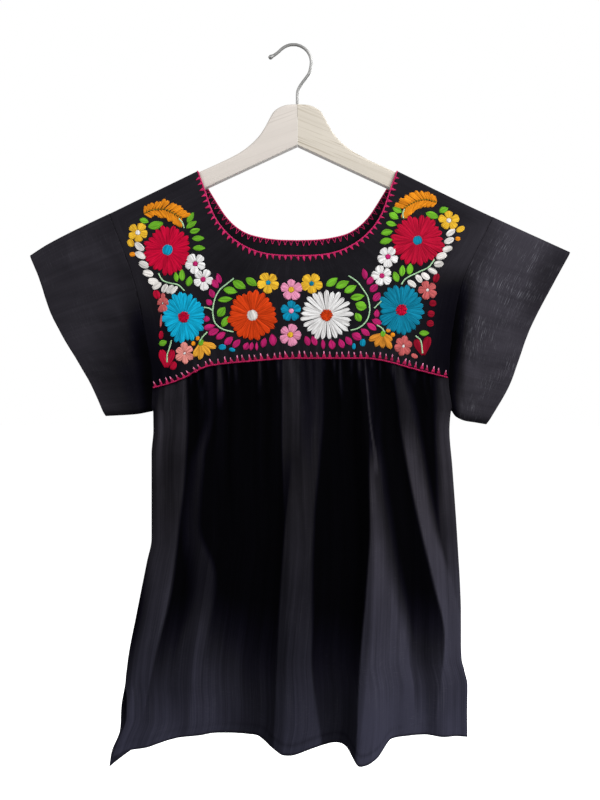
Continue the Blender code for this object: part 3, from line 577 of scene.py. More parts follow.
@dataclass(frozen=True)
class Floss:
    """Stranded embroidery cotton in one colour, with a faint gloss, painted highlights and painted shade
    along its strands, and tone that differs at random from pad to pad.
    """

    name: str
    colour: Colour
    laid: bool = True
    shade: float = 0.44
    light: float = 1.26
    laid_strands: Grain = Grain((900, 60, 1), 3)
    laid_blotches: Grain = Grain((0.1, 0.1, 3), 1)
    twisted_strands: Grain = Grain((1500, 1500, 1500))
    twisted_blotches: Grain = Grain((300, 300, 300), 1)

    def build(self) -> bpy.types.Material:
        """The material. Laid stitches carry their thread's run in an attribute, in metres."""
        nodes = Nodes(self.name)
        if self.laid:
            place = nodes.add("Attribute", attribute_name="thread").outputs["Vector"]
            strands, blotches = nodes.noise(place, self.laid_strands), nodes.noise(place, self.laid_blotches)
        else:
            place = nodes.add("TexCoord").outputs["Object"]
            strands = nodes.noise(place, self.twisted_strands)
            blotches = nodes.noise(place, self.twisted_blotches)
        # Strands: painted highlights and painted shade along each strand; blotches: tone that differs at
        # random from pad to pad
        tone = nodes.combine("ADD", nodes.ramp(strands, 0.36, 0.64, 0.0, 0.7),
                             nodes.ramp(blotches, 0.3, 0.7, 0.0, 0.3))
        shade = tuple(value * self.shade for value in self.colour)
        light = tuple(min(0.95, value * self.light + 0.002) for value in self.colour)
        nodes.join(nodes.blend(tone, shade, light), nodes.shader.inputs["Base Color"])
        nodes.bump(((strands, 0.6, 0.0003),))
        nodes.set(Roughness=0.62, Specular_IOR_Level=0.045)
        return nodes.material


@dataclass(frozen=True)
class Whitewash:
    """Pale wood under a thin white wash, with its grain along one half of the hanger.

    The faces that look down are painted paler, a painted bounce light on the underside.
    """

    side: Side
    base: dict = field(default_factory=lambda: {Side.LEFT: (0.600, 0.552, 0.508),
                                                Side.RIGHT: (0.575, 0.528, 0.455)})
    grain: dict = field(default_factory=lambda: {Side.LEFT: (0.545, 0.500, 0.455),
                                                 Side.RIGHT: (0.310, 0.258, 0.185)})
    slope: dict = field(default_factory=lambda: {Side.LEFT: -20.0, Side.RIGHT: 22.0})
    painted_underside_light: Colour = (0.93, 0.90, 0.86)
    thick_wash: float = 1.07
    broad: Grain = Grain((7, 30, 55), 4)
    lines: Grain = Grain((9, 300, 760), 3)
    pores: Grain = Grain((90, 1500, 1500))

    def build(self) -> bpy.types.Material:
        """The material, on Object coordinates turned along the arm."""
        nodes = Nodes(f"whitewashed_wood_{self.side.name.lower()}")
        texture = nodes.add("TexCoord").outputs
        turned = nodes.add("Mapping", Rotation=(0.0, -math.radians(self.slope[self.side]), 0.0))
        nodes.join(texture["Object"], turned.inputs["Vector"])
        along = turned.outputs["Vector"]
        broad, lines = nodes.noise(along, self.broad), nodes.noise(along, self.lines)
        streaks = nodes.combine("MULTIPLY", nodes.ramp(lines, 0.53, 0.64, 0.0, 1.0),
                                nodes.ramp(broad, 0.40, 0.62, 0.15, 1.0))
        base = self.base[self.side]
        wash = nodes.blend(nodes.ramp(broad, 0.3, 0.7, 0.0, 1.0), base,
                           tuple(min(1.0, value * self.thick_wash) for value in base))
        face = nodes.blend(streaks, wash, self.grain[self.side])
        # Painted bounce light: faces that look down take the paler underside colour
        below = nodes.ramp(nodes.split(texture["Normal"], "Z"), -0.60, -0.85, 0.0, 1.0)
        nodes.join(nodes.blend(below, face, self.painted_underside_light), nodes.shader.inputs["Base Color"])
        nodes.bump(((lines, 0.25, 0.0003), (nodes.noise(along, self.pores), 0.3, 0.0002)))
        nodes.set(Roughness=0.58, Specular_IOR_Level=0.30)
        return nodes.material


@dataclass(frozen=True)
class SteelWire:
    """Bright drawn wire."""

    name: str = "steel_wire"
    dull: Colour = (0.34, 0.34, 0.335)
    bright: Colour = (0.42, 0.415, 0.405)
    rub: Grain = Grain((60, 60, 60))

    def build(self) -> bpy.types.Material:
        """The material, on Object coordinates."""
        nodes = Nodes(self.name)
        rub = nodes.noise(nodes.add("TexCoord").outputs["Object"], self.rub)
        nodes.join(nodes.ramp(rub, 0.3, 0.7, 0.50, 0.58), nodes.shader.inputs["Roughness"])
        nodes.join(nodes.blend(nodes.ramp(rub, 0.3, 0.7, 0, 1), self.dull, self.bright),
                   nodes.shader.inputs["Base Color"])
        nodes.set(Metallic=1.0)
        return nodes.material


# The cloth

@dataclass
class Yoke:
    """A yoke: shoulders, armholes and the gathered seam round it, with the neckline cut from its top."""

    face: Face
    ridge_rows: int = 34
    armhole_rows: int = 70
    half_columns: int = 84
    route_steps: int = 400
    thickness: float = 0.0008
    seam_gap: float = 0.0002
    pucker: float = 0.0007
    pucker_pitch: float = 0.0118
    pucker_reach: float = 0.030
    ripple: float = 0.0006
    ripple_start: float = 0.04
    # Painted light and shade: on the puckers and ripples, on the shoulders and chest, and fading to the
    # armholes' painted light
    crease_tone: float = 0.07
    shoulder_tone: float = 0.72
    chest_tone: float = 0.63
    chest_fall: float = 0.09
    armhole_reach: float = 0.055
    slope_step: float = 0.0008
    cloth_size: tuple = (0.44, 0.30)

    @property
    def name(self) -> str:
        """The piece's name."""
        return "front_yoke_cloth" if self.face == Face.FRONT else "back_yoke_cloth"

    def unrolled(self, out: Array, drop: Array, side: Side) -> Array:
        """Places on the yoke as (out, run of cloth from the ridge)."""
        return np.stack([out, CUT.run_for_fall(drop - CUT.shoulder_drop(side * out))], axis=-1)

    def borders(self, side: Side) -> tuple[Array, Array, Array, Array]:
        """The borders of half a yoke, unrolled: neckline, seam, ridge with armhole, and centre line."""
        neck = Smooth(CUT.neckline[self.face])
        first, last = CUT.neckline[self.face][0][0], CUT.neckline[self.face][-1][0]
        runs = np.linspace(0, CUT.round_run, 40)
        over = np.stack([neck(first + CUT.section(runs)[1]), runs], axis=1)
        drops = last - (last - first - CUT.shoulder_round) * np.linspace(1, 0, self.route_steps) ** 2
        top = spaced(np.vstack([over, self.unrolled(neck(drops), drops, side)[1:]]), self.half_columns)
        seam_out, seam_drop = np.abs(CUT.seam[self.face][0 if side == Side.LEFT else -1])
        outs = np.linspace(seam_out, 0, self.route_steps)
        seam = Smooth(CUT.seam[self.face])
        bottom = spaced(self.unrolled(outs, seam(side * outs), side), self.half_columns)
        armhole = Smooth(CUT.armhole[side])
        top_drop = CUT.armhole[side][0][0]
        ridge_outs = np.linspace(CUT.neck_point, armhole(top_drop), self.ridge_rows + 1)
        ridge = np.stack([ridge_outs, np.zeros_like(ridge_outs)], axis=1)
        over_arm = np.stack([armhole(top_drop + CUT.section(runs)[1]), runs], axis=1)
        drops = np.linspace(top_drop + CUT.shoulder_round, seam_drop, self.route_steps)
        below = self.unrolled(armhole(drops), drops, side)
        arm = spaced(np.vstack([over_arm, below[1:]]), self.armhole_rows)
        edge = np.vstack([ridge, arm[1:]])
        centre = np.stack([np.zeros(len(edge)), np.linspace(top[-1][1], bottom[-1][1], len(edge))], axis=1)
        return top, bottom, edge, centre

    def half(self, side: Side) -> Array:
        """A grid of (signed out, run) over half a yoke, from the neckline outwards."""
        top, bottom, edge, centre = self.borders(side)
        v = np.linspace(0, 1, len(edge))[:, None, None]
        u = np.linspace(0, 1, len(top))[None, :, None]
        grid = (mix(top[None], bottom[None], v) + mix(edge[:, None], centre[:, None], u)
                - mix(mix(edge[0], centre[0], u), mix(edge[-1], centre[-1], u), v))
        return grid * np.array([side, 1.0])

    def relief(self, out: Array, drop: Array) -> Array:
        """Small creases: puckers along the gathered seam, and faint ripples of worn cloth."""
        seam = Smooth(CUT.seam[self.face])(out)
        near = ease(1 - (seam - drop) / self.pucker_reach)
        puckers = np.cos(2 * math.pi * out / self.pucker_pitch + 1.5 * noise_line(7, 30, out / 0.4 + 0.5))
        fall = drop - CUT.shoulder_drop(out)
        away = ease((fall - CUT.shoulder_round) / self.ripple_start)
        ripples = noise_line(11, 14, out / 0.44 + 0.5 + 0.12 * fall) * noise_line(12, 7, drop / 0.4)
        return self.pucker * near * puckers + self.ripple * away * ripples

    def depth(self, out: Array, drop: Array, run: Array | None = None) -> Array:
        """Depth of the yoke's middle surface, its small creases included."""
        return CUT.yoke_depth(self.face, out, drop, run) + self.relief(out, drop)

    def surface(self, out: Array, drop: Array, lift: Array | float = 0.0) -> Array:
        """Points on the yoke, lifted off it.

        Args:
            out: signed distances out from the centre line.
            drop: drops.
            lift: how far to stand proud of the middle surface.

        Returns:
            World points, one a row.
        """
        out, drop = np.asarray(out, dtype=float), np.asarray(drop, dtype=float)
        step = self.slope_step
        depth = self.depth(out, drop)
        slope_out = (self.depth(out + step, drop) - depth) / step
        slope_drop = (self.depth(out, drop + step) - depth) / step
        length = np.sqrt(1 + slope_out ** 2 + slope_drop ** 2)
        return np.stack([CUT.centre_x + out - lift * slope_out / length,
                         self.face * (depth + lift / length),
                         -(drop - lift * slope_drop / length)], axis=-1)

    def edge_route(self) -> Array:
        """World points along the neckline, from the left end of the ridge to the right one."""
        halves = []
        for side in Side:
            out, run = self.borders(side)[0].T * np.array([[side], [1.0]])
            drop = CUT.shoulder_drop(out) + CUT.section(run)[1]
            depth = np.maximum(self.depth(out, drop, run), self.seam_gap)
            halves.append(np.stack([CUT.centre_x + out, self.face * depth, -drop], axis=1))
        return np.vstack([halves[0], halves[1][-2::-1]])

    def painted_lightness(self, out: Array, drop: Array) -> Array:
        """The painted light: painted highlights most on the shoulders, and painted shade beside the armholes'
        feet.
        """
        fall = drop - CUT.shoulder_drop(out)
        middle = mix(self.shoulder_tone, self.chest_tone, ease(fall / self.chest_fall))
        for side in Side:
            inside = Smooth(CUT.armhole[side])(drop) - side * out
            middle = mix(CUT.armhole_painted_light(side, drop), middle, ease(inside / self.armhole_reach))
        return middle

    def build(self, cotton: bpy.types.Material, needlework: list[bpy.types.Object]) -> bpy.types.Object:
        """The cloth of the yoke.

        Args:
            cotton: its material.
            needlework: the stitches on it; not used.

        Returns:
            The piece.
        """
        left, right = self.half(Side.LEFT), self.half(Side.RIGHT)
        grid = np.concatenate([left, right[:, -2::-1]], axis=1)
        fall = CUT.section(grid[..., 1])[1]
        drop = CUT.shoulder_drop(grid[..., 0]) + fall
        depth = self.depth(grid[..., 0], drop, grid[..., 1])
        depth[:self.ridge_rows + 1, [0, -1]] = self.seam_gap
        # Painted light and shade, with painted shade and highlights on the puckers and ripples
        crease = self.relief(grid[..., 0], drop) / (self.pucker + self.ripple)
        rise = np.clip(self.painted_lightness(grid[..., 0], drop) + self.crease_tone * crease, 0, 1)
        points = np.stack([CUT.centre_x + grid[..., 0], self.face * depth, -drop, rise], axis=-1)
        rows, columns = points.shape[0] - 1, points.shape[1] - 1

        def place(across: Array, down: Array) -> Array:
            """Looks each point up in the grid."""
            i = np.rint(across * columns).astype(int)
            return points[np.rint(down * rows).astype(int), columns - i if self.face == Face.BACK else i]

        yoke = grid_sheet(self.name, columns, rows, place, self.cloth_size)
        thicken(yoke, self.thickness)
        dress(yoke, cotton)
        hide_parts("front_yoke" if self.face == Face.FRONT else "back_yoke")
        return yoke


@dataclass(frozen=True)
class Fold:
    """One deep fold of a gathered panel, soft where it starts and growing towards the hem."""

    top: float
    middle: float
    low: float
    left_reach: float
    right_reach: float
    depth: float
    early: float


@dataclass(frozen=True)
class Band:
    """A painted highlight along a fold's ridge, crisp where the cloth turns away and soft elsewhere.

    Its rows are (share of the way down, left edge, right edge, painted light), with the edges in millimetres.
    """

    rows: tuple
    left_soft: float = 6
    right_soft: float = 6

    def painted_lightness(self, out: Array, down: Array) -> Array:
        """How much painted light the cloth has at each place, from 0 to about 1."""
        left, right, tone = (Smooth(self.rows, column)(down) for column in (1, 2, 3))
        from_left = ease((out * 1000 - left) / self.left_soft + 0.5)
        from_right = ease((right - out * 1000) / self.right_soft + 0.5)
        return tone * from_left * from_right


@dataclass
class GatheredPanel:
    """A gathered panel: yoke seam to hem, with side seams that open into a slit above the hem."""

    face: Face
    columns: int = 268
    rows: int = 168
    thickness: float = 0.0008
    edge_share: float = 0.034
    gathers: int = 28
    gather_depth: float = 0.0019
    gather_reach: float = 0.055
    soft_depth: float = 0.0017
    soft_start: float = 0.05
    soft_reach: float = 0.12
    long_crease: float = 0.0011
    middle_crease: float = 0.0016
    hem_turn: float = 0.012
    hem_crease: float = 0.0018
    hem_dip: float = 0.0004
    hem_shade: float = 0.12
    edge_fade: float = 0.030
    # Painted light: least in the folds' bottoms, less in the middle than at the sides
    least_tone: float = 0.24
    middle_tone: float = 0.62
    side_tone: float = 0.88
    middle_reach: float = 0.055
    close_rows: float = 0.45
    cloth_size: tuple = (0.62, 0.44)
    # Drops at which the search for the seam and for the hem starts
    first_seam: float = 0.37
    first_hem: float = 0.79
    # Painted highlights along the ridges of the deep folds, on each face
    bands: dict = field(default_factory=lambda: {
        Face.FRONT: (
            Band(((0.0, -160, -124, 0.74), (0.12, -170, -124, 0.76), (0.25, -176, -126, 0.68),
                  (0.42, -176, -134, 0.76), (0.58, -178, -142, 0.84), (0.75, -192, -158, 0.88),
                  (1.0, -216, -178, 0.93)), 30, 8),
            Band(((0.0, -105, -94, 0.68), (0.12, -104, -93, 0.60), (0.25, -124, -104, 0.58),
                  (0.42, -132, -108, 0.58), (0.58, -126, -90, 0.54), (0.75, -146, -98, 0.70),
                  (1.0, -180, -110, 0.90)), 34, 14),
            Band(((0.0, -18, 4, 0.70), (0.20, -18, 4, 0.68), (0.30, -17, 6, 0.5), (0.42, -15, 6, 0.3)), 4, 6),
            Band(((0.0, -10, 30, 0.50), (0.12, -9, 31, 0.50), (0.25, -9, 27, 0.58), (0.42, -14, 20, 0.66),
                  (0.58, -19, 18, 0.65), (0.75, -23, 18, 0.70), (1.0, -28, 30, 0.85)), 5, 9),
            Band(((0.0, 75.4, 77.8, 0.82), (0.15, 80.4, 83.4, 0.82), (0.27, 86.0, 91.0, 0.88),
                  (0.31, 84.0, 92.0, 0.6), (0.36, 82.0, 90.0, 0.0)), 1.6, 2.4),
            Band(((0.0, 74, 92, 0.42), (0.20, 80, 98, 0.46), (0.30, 80.5, 98, 0.84), (0.42, 81, 104, 0.95),
                  (0.58, 77, 116, 1.00), (0.75, 70, 134, 1.01), (1.0, 64, 150, 1.02)), 4, 36),
            Band(((0.0, 107, 124, 0.62), (0.12, 113, 138, 0.58), (0.25, 122, 146, 0.86),
                  (0.42, 137, 160, 0.97), (0.58, 153, 184, 1.04), (0.73, 166, 197, 1.02),
                  (0.88, 158, 200, 0.90), (1.0, 148, 200, 0.93)), 7, 22),
            Band(((0.0, 154, 176, 0.60), (0.25, 158, 184, 0.78), (0.42, 160, 188, 0.76),
                  (0.58, 168, 192, 0.90), (0.80, 172, 196, 0.92), (1.0, 172, 200, 0.92)), 16, 8)),
        Face.BACK: (
            Band(((0.0, -162, -120, 0.74), (0.3, -174, -132, 0.72), (0.7, -190, -150, 0.84),
                  (1.0, -216, -160, 0.94)), 26, 8),
            Band(((0.0, -70, -48, 0.74), (0.3, -76, -50, 0.74), (0.7, -84, -42, 0.80),
                  (1.0, -92, -30, 0.90)), 6, 16),
            Band(((0.0, 18, 36, 0.72), (0.3, 20, 48, 0.76), (0.7, 22, 62, 0.86), (1.0, 20, 76, 0.94)), 7, 24),
            Band(((0.0, 102, 118, 0.70), (0.3, 108, 132, 0.76), (0.7, 112, 146, 0.86),
                  (1.0, 110, 160, 0.95)), 20, 7))})
    folds: dict = field(default_factory=lambda: {
        Face.FRONT: (Fold(-0.120, -0.150, -0.172, 0.030, 0.030, 0.008, 0.30),
                     Fold(-0.092, -0.106, -0.116, 0.022, 0.026, 0.006, 0.35),
                     Fold(-0.002, -0.005, -0.012, 0.024, 0.050, 0.022, 0.15),
                     Fold(0.073, 0.087, 0.071, 0.022, 0.046, 0.028, 0.12),
                     Fold(0.118, 0.150, 0.172, 0.030, 0.024, 0.011, 0.35)),
        Face.BACK: (Fold(-0.125, -0.142, -0.160, 0.030, 0.028, 0.008, 0.25),
                    Fold(-0.058, -0.062, -0.056, 0.040, 0.026, 0.012, 0.20),
                    Fold(0.028, 0.034, 0.040, 0.026, 0.044, 0.014, 0.20),
                    Fold(0.112, 0.124, 0.132, 0.030, 0.026, 0.010, 0.25))})

    @property
    def name(self) -> str:
        """The piece's name."""
        return "front_body_cloth" if self.face == Face.FRONT else "back_body_cloth"

    def section(self, across: Array, drop: Array) -> tuple[Array, Array, Array]:
        """The panel's plain section.

        Args:
            across: shares of the way across, from its left edge.
            drop: drops.

        Returns:
            The signed distance out, the depth, and how far inside the rounded edge each place is.
        """
        edges = {side: CUT.edge(self.face, side) for side in Side}
        outs = {side: edges[side][0](drop) for side in Side}
        starts = {side: edges[side][1](drop) for side in Side}
        inners = {side: np.maximum(CUT.edge_round + CUT.bulge(side, drop), starts[side]) for side in Side}
        share = (across - self.edge_share) / (1 - 2 * self.edge_share)
        out = mix(CUT.edge_round - outs[Side.LEFT], outs[Side.RIGHT] - CUT.edge_round, share)
        insides = {side: outs[side] - CUT.edge_round - side * out for side in Side}
        on_left = insides[Side.LEFT] < insides[Side.RIGHT]
        inside = np.where(on_left, insides[Side.LEFT], insides[Side.RIGHT])
        inner = np.where(on_left, inners[Side.LEFT], inners[Side.RIGHT])
        depth = mix(inner, CUT.edge_round + CUT.yoke_gain[self.face], ease(inside / CUT.side_blend))
        for side in Side:
            turn = (across if side == Side.LEFT else 1 - across) / self.edge_share
            there = turn < 1
            angle = math.pi / 2 * np.clip(turn, 0, 1)
            flat = np.maximum(0.0, starts[side] / inners[side])
            rounded = side * (outs[side] - CUT.edge_round * mix(1 - np.cos(angle), turn, flat))
            out = np.where(there, rounded, out)
            depth = np.where(there, mix(starts[side], inners[side], np.sin(angle)), depth)
            inside = np.where(there, 0.0, inside)
        return out, depth, inside

    def deep_folds(self, out: Array, down: Array) -> Array:
        """How far the deep folds stand out."""
        total = np.zeros_like(out)
        for fold in self.folds[self.face]:
            centre = Smooth(((0.0, fold.top), (0.5, fold.middle), (1.0, fold.low)))(down)
            reach = np.where(out < centre, fold.left_reach, fold.right_reach) * mix(0.6, 1.0, down)
            away = np.clip(np.abs(out - centre) / reach, 0, 1)
            grown = mix(fold.early, 1.0, down) * ease(down / 0.15)
            total += fold.depth * grown * ease(1.12 * (1 - away))
        return total

    def painted_light_level(self, out: Array, down: Array, share: Array, below: Array) -> Array:
        """The painted light and shade of the cloth: painted highlights on the ridges of folds and gathers and
        towards the hem, and painted shade between them.

        Args:
            out: signed distances out.
            down: shares of the way down.
            share: shares of the way across, between the rounded edges.
            below: distances below the yoke's seam.

        Returns:
            The painted light, from 0 for painted shade to about 1.
        """
        seed = 130 + self.face
        past_middle = ease((np.abs(out - 0.005) - self.middle_reach) / 0.05)
        beside = mix(self.middle_tone, self.side_tone, past_middle)
        tone = np.maximum(self.least_tone, beside * ease((down - 0.40) / 0.58))
        for band in self.bands[self.face]:
            tone = np.maximum(tone, band.painted_lightness(out, down))
        drift = share + 0.010 * noise_line(seed, 6, down)
        streaks = 0.07 * noise_line(seed + 1, 70, drift) + 0.06 * noise_line(seed + 2, 26, drift)
        streaks = streaks * (0.5 + 0.5 * noise_line(seed + 3, 9, down + 0.3 * share))
        # Painted highlights on the gathers' ridges near the seam
        ridge = self.gathering(share, below) / self.gather_depth
        fresh = 1 - ease(below / (0.075 + 0.045 * noise_line(seed + 5, 30, share)))
        gathered = (0.47 + 0.16 * noise_line(seed + 6, 37, share)) * np.clip(0.55 + 0.9 * ridge, 0, 1.2)
        return np.maximum(tone * (1 + streaks + 0.14 * ridge), gathered * fresh)

    def gathering(self, share: Array, below: Array) -> Array:
        """The small gathers at the seam, uneven in breadth and depth, and the soft ones they run into.

        Args:
            share: shares of the way across, between the rounded edges.
            below: distances below the yoke's seam.

        Returns:
            How far the cloth stands out.
        """
        seed = 20 + self.face
        phase = self.gathers * share + 0.42 * noise_line(seed, 34, share)
        height = 0.72 + 0.28 * noise_line(seed + 5, 40, share)
        length = 1 + 0.45 * noise_line(seed + 9, 26, share)
        fresh = mix(0.55, 1.0, ease(below / 0.007)) * (1 - ease(below / (self.gather_reach * length)))
        soft = ease(below / 0.040) * (1 - ease((below - self.soft_start) / (self.soft_reach * length)))
        creases = 0.5 * np.cos(2 * math.pi * phase) + 0.5 * np.cos(2 * math.pi * phase) ** 3
        swells = np.cos(math.pi * phase + 1.2 * noise_line(seed + 3, 12, share))
        return height * (self.gather_depth * fresh * creases + self.soft_depth * soft * swells)

    def fine_folds(self, share: Array, down: Array, below: Array) -> Array:
        """Long shallow creases between the deep folds."""
        seed = 60 + self.face
        drift = share + 0.012 * noise_line(seed, 5, down)
        long = noise_line(seed + 1, 46, drift) * (0.6 + 0.4 * noise_line(seed + 2, 9, share))
        middle = noise_line(seed + 4, 22, drift)
        grown = ease(below / 0.09)
        return grown * (self.long_crease * long * (1 - 0.5 * down) + self.middle_crease * middle)

    def points(self, across: Array, down: Array) -> Array:
        """World points of the panel's middle surface.

        Args:
            across: shares of the way across.
            down: shares of the way from the yoke's seam to the hem.

        Returns:
            One point a row.
        """
        seam, hem = Smooth(CUT.seam[self.face]), Smooth(CUT.hem[self.face])
        top, foot = np.full_like(across, self.first_seam), np.full_like(across, self.first_hem)
        for _ in range(4):
            top = seam(self.section(across, top)[0])
            foot = hem(self.section(across, foot)[0])
        drop = mix(top, foot, down)
        out, depth, inside = self.section(across, drop)
        share = np.clip((across - self.edge_share) / (1 - 2 * self.edge_share), 0, 1)
        fade = ease(inside / self.edge_fade)
        gain = CUT.body_gain[self.face] * ease(down) * ease(inside / CUT.side_blend)
        depth = depth + gain + fade * (self.deep_folds(out, down) + self.gathering(share, drop - top)
                                       + self.fine_folds(share, down, drop - top))
        on_hem = ease(1 - np.abs(foot - drop - self.hem_turn) / self.hem_crease)
        depth = depth - self.hem_dip * on_hem * fade
        # Painted light and shade, with a painted shade line along the hem's turned crease
        rise = self.painted_light_level(out, down, share, drop - top) - self.hem_shade * on_hem
        return np.stack([CUT.centre_x + out, self.face * depth, -drop, np.clip(rise, 0.02, 1.2)], axis=1)

    def build(self, cotton: bpy.types.Material) -> bpy.types.Object:
        """The cloth of the panel.

        Args:
            cotton: its material.

        Returns:
            The piece.
        """
        def place(across: Array, down: Array) -> Array:
            """Points with the rows closer together near the seam."""
            eased = mix(down, down ** 2, self.close_rows)
            return self.points(1 - across if self.face == Face.BACK else across, eased)

        panel = grid_sheet(self.name, self.columns, self.rows, place, self.cloth_size)
        thicken(panel, self.thickness)
        dress(panel, cotton)
        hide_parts("front_body" if self.face == Face.FRONT else "back_body")
        self.name.replace("body", "yoke")
        return panel


@dataclass
class Sleeve:
    """A short sleeve: a tube from the armhole to an open cuff, folded over the shoulder line."""

    side: Side
    around: int = 220
    along: int = 70
    thickness: float = 0.0008
    seam_gap: float = 0.0003
    crease_reach: float = 0.055
    broad_ripple: float = 0.0010
    small_ripple: float = 0.0006
    # How much painted highlight the pressed creases get
    crease_tone: float = 35.0
    cloth_size: tuple = (0.44, 0.10)
    # Painted light along each sleeve
    painted_light_level: dict = field(default_factory=lambda: {Side.LEFT: 0.79, Side.RIGHT: 0.965})
    # Rows of (place along, place down, half length, half height, change of painted light, negative for
    # painted shade), as shares of the sleeve
    shades: dict = field(default_factory=lambda: {
        Side.LEFT: ((0.28, 0.86, 0.70, 0.46, -0.30), (0.20, 0.10, 0.40, 0.30, 0.04),
                    (0.75, 0.45, 0.40, 0.30, 0.03), (0.10, 0.62, 0.30, 0.20, -0.08)),
        Side.RIGHT: ((0.98, 0.02, 0.46, 0.66, -0.24), (0.0, 0.66, 0.36, 0.50, -0.26),
                     (0.55, 1.02, 0.9, 0.16, -0.14), (0.40, 0.30, 0.45, 0.35, 0.03))})
    # Rows of (place along, place down) at each end, then the height: creases pressed into the cloth
    creases: dict = field(default_factory=lambda: {
        Side.LEFT: ((0.50, 0.00, 0.66, 0.20, 0.0010), (0.28, 0.02, 0.08, 0.30, -0.0007),
                    (0.30, 0.42, 0.18, 0.66, 0.0008), (0.62, 0.40, 0.50, 0.62, 0.0005)),
        Side.RIGHT: ((0.62, 0.00, 0.74, 0.60, 0.0012), (0.20, 0.30, 0.50, 0.92, 0.0007),
                     (0.05, 0.55, 0.30, 0.98, -0.0008), (0.40, 0.05, 0.34, 0.40, 0.0006))})
    # Rows of (place along, place down, half length, half height, depth), as shares of the sleeve
    folds: dict = field(default_factory=lambda: {
        Side.LEFT: ((0.35, 0.45, 0.35, 0.22, 0.0030), (0.75, 0.25, 0.25, 0.20, -0.0020),
                    (0.70, 0.75, 0.30, 0.15, 0.0025)),
        Side.RIGHT: ((0.50, 0.55, 0.30, 0.25, 0.0040), (0.85, 0.30, 0.22, 0.20, -0.0035),
                     (0.30, 0.80, 0.30, 0.12, 0.0025))})

    @property
    def name(self) -> str:
        """The piece's name."""
        return f"{self.side.name.lower()}_sleeve_cloth"

    def pressed(self, along: Array, down: Array) -> Array:
        """How far the narrow creases stand out, each fading towards its ends."""
        total = np.zeros_like(along)
        for start_along, start_down, end_along, end_down, height in self.creases[self.side]:
            run, fall = end_along - start_along, end_down - start_down
            way = ((along - start_along) * run + (down - start_down) * fall * 4) / (run ** 2 + 4 * fall ** 2)
            aside = np.hypot(along - start_along - way * run, 2 * (down - start_down - way * fall))
            ends = ease(way / 0.3 + 0.15) * ease((1 - way) / 0.3 + 0.15)
            total += height * ends * np.exp(-(aside / self.crease_reach) ** 2)
        return total

    def points(self, around: Array, along: Array) -> Array:
        """World points of the sleeve's middle surface.

        Args:
            around: shares of the way round, from the under-seam over the front and back to it.
            along: shares of the way to the cuff.

        Returns:
            One point a row.
        """
        side, armhole, cuff = self.side, Smooth(CUT.armhole[self.side]), Smooth(CUT.cuff[self.side])
        face = np.where(around < 0.5, Face.FRONT, Face.BACK)
        way = np.abs(2 * around - 1)
        top, foot = CUT.armhole[side][0][0], CUT.underarm
        cuff_rows = CUT.cuff[side]
        ridge_out = mix(CUT.armhole[side][0][1], cuff_rows[0][1], along)
        ridge = CUT.shoulder_drop(side * ridge_out)
        under = mix(foot, cuff_rows[-1][0], along) + Smooth(CUT.sag[side])(along)
        height = under - ridge
        foot_run = CUT.edge_round * math.pi / 2
        straight = height - CUT.shoulder_round - CUT.edge_round
        run = way * (CUT.round_run + straight + foot_run)
        depth, fall = CUT.section(run)
        past = np.clip((run - CUT.round_run - straight) / foot_run, 0, 1) * math.pi / 2
        at_foot = past > 0
        depth = np.where(at_foot, CUT.edge_round * np.cos(past), depth)
        fall = np.where(at_foot, height - CUT.edge_round * (1 - np.sin(past)), fall)
        down = fall / height
        arm_drop = mix(top, foot, down)
        out = mix(armhole(arm_drop), cuff(mix(cuff_rows[0][0], cuff_rows[-1][0], down)), along)
        swell = mix(CUT.armhole_bulge, CUT.cuff_bulge, along) * np.sin(math.pi * down)
        for centre, level, length, tall, rise in self.folds[side]:
            away = np.clip(np.hypot((along - centre) / length, (down - level) / tall), 0, 1)
            swell = swell + rise * np.cos(math.pi / 2 * away) ** 2
        seed = 90 + int(side)
        broad = self.broad_ripple * noise_line(seed, 9, down + 0.25 * along) * ease(along / 0.2)
        small = self.small_ripple * noise_line(seed + 4, 24, down * 0.9 + 0.1 * along)
        swell = swell + (broad + small) * np.sin(math.pi * down)
        pressed = self.pressed(along, down)
        depth = depth + (swell + pressed) * np.clip(depth / CUT.edge_round, 0, 1)
        # Painted light and shade: painted shade at the armhole, paler along the sleeve, painted patches of
        # shade on the front and painted highlights along the pressed creases
        rise = mix(CUT.armhole_painted_light(side, arm_drop), self.painted_light_level[side], ease(along / 0.30))
        for centre, level, length, tall, change in self.shades[side]:
            away = np.clip(np.hypot((along - centre) / length, (down - level) / tall), 0, 1)
            rise = rise + change * ease(1 - away) * (face == Face.FRONT)
        rise = rise + self.crease_tone * pressed + 0.03 * noise_line(seed + 8, 13, down + 0.2 * along)
        rise = np.clip(rise, 0.05, 1.12)
        return np.stack([CUT.centre_x + side * (out + self.seam_gap * (1 - along)), face * depth,
                         -(ridge + fall), rise], axis=1)

    def build(self, cotton: bpy.types.Material) -> bpy.types.Object:
        """The cloth of the sleeve.

        Args:
            cotton: its material.

        Returns:
            The piece.
        """
        def place(across: Array, down: Array) -> Array:
            """Goes round one way on one side and the other way on the other."""
            return self.points(across if self.side == Side.RIGHT else 1 - across, down)

        sleeve = grid_sheet(self.name, self.around, self.along, place, self.cloth_size, welds=True)
        thicken(sleeve, self.thickness)
        dress(sleeve, cotton)
        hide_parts("sleeve_left" if self.side == Side.LEFT else "sleeve_right")
        return sleeve


# The hanger

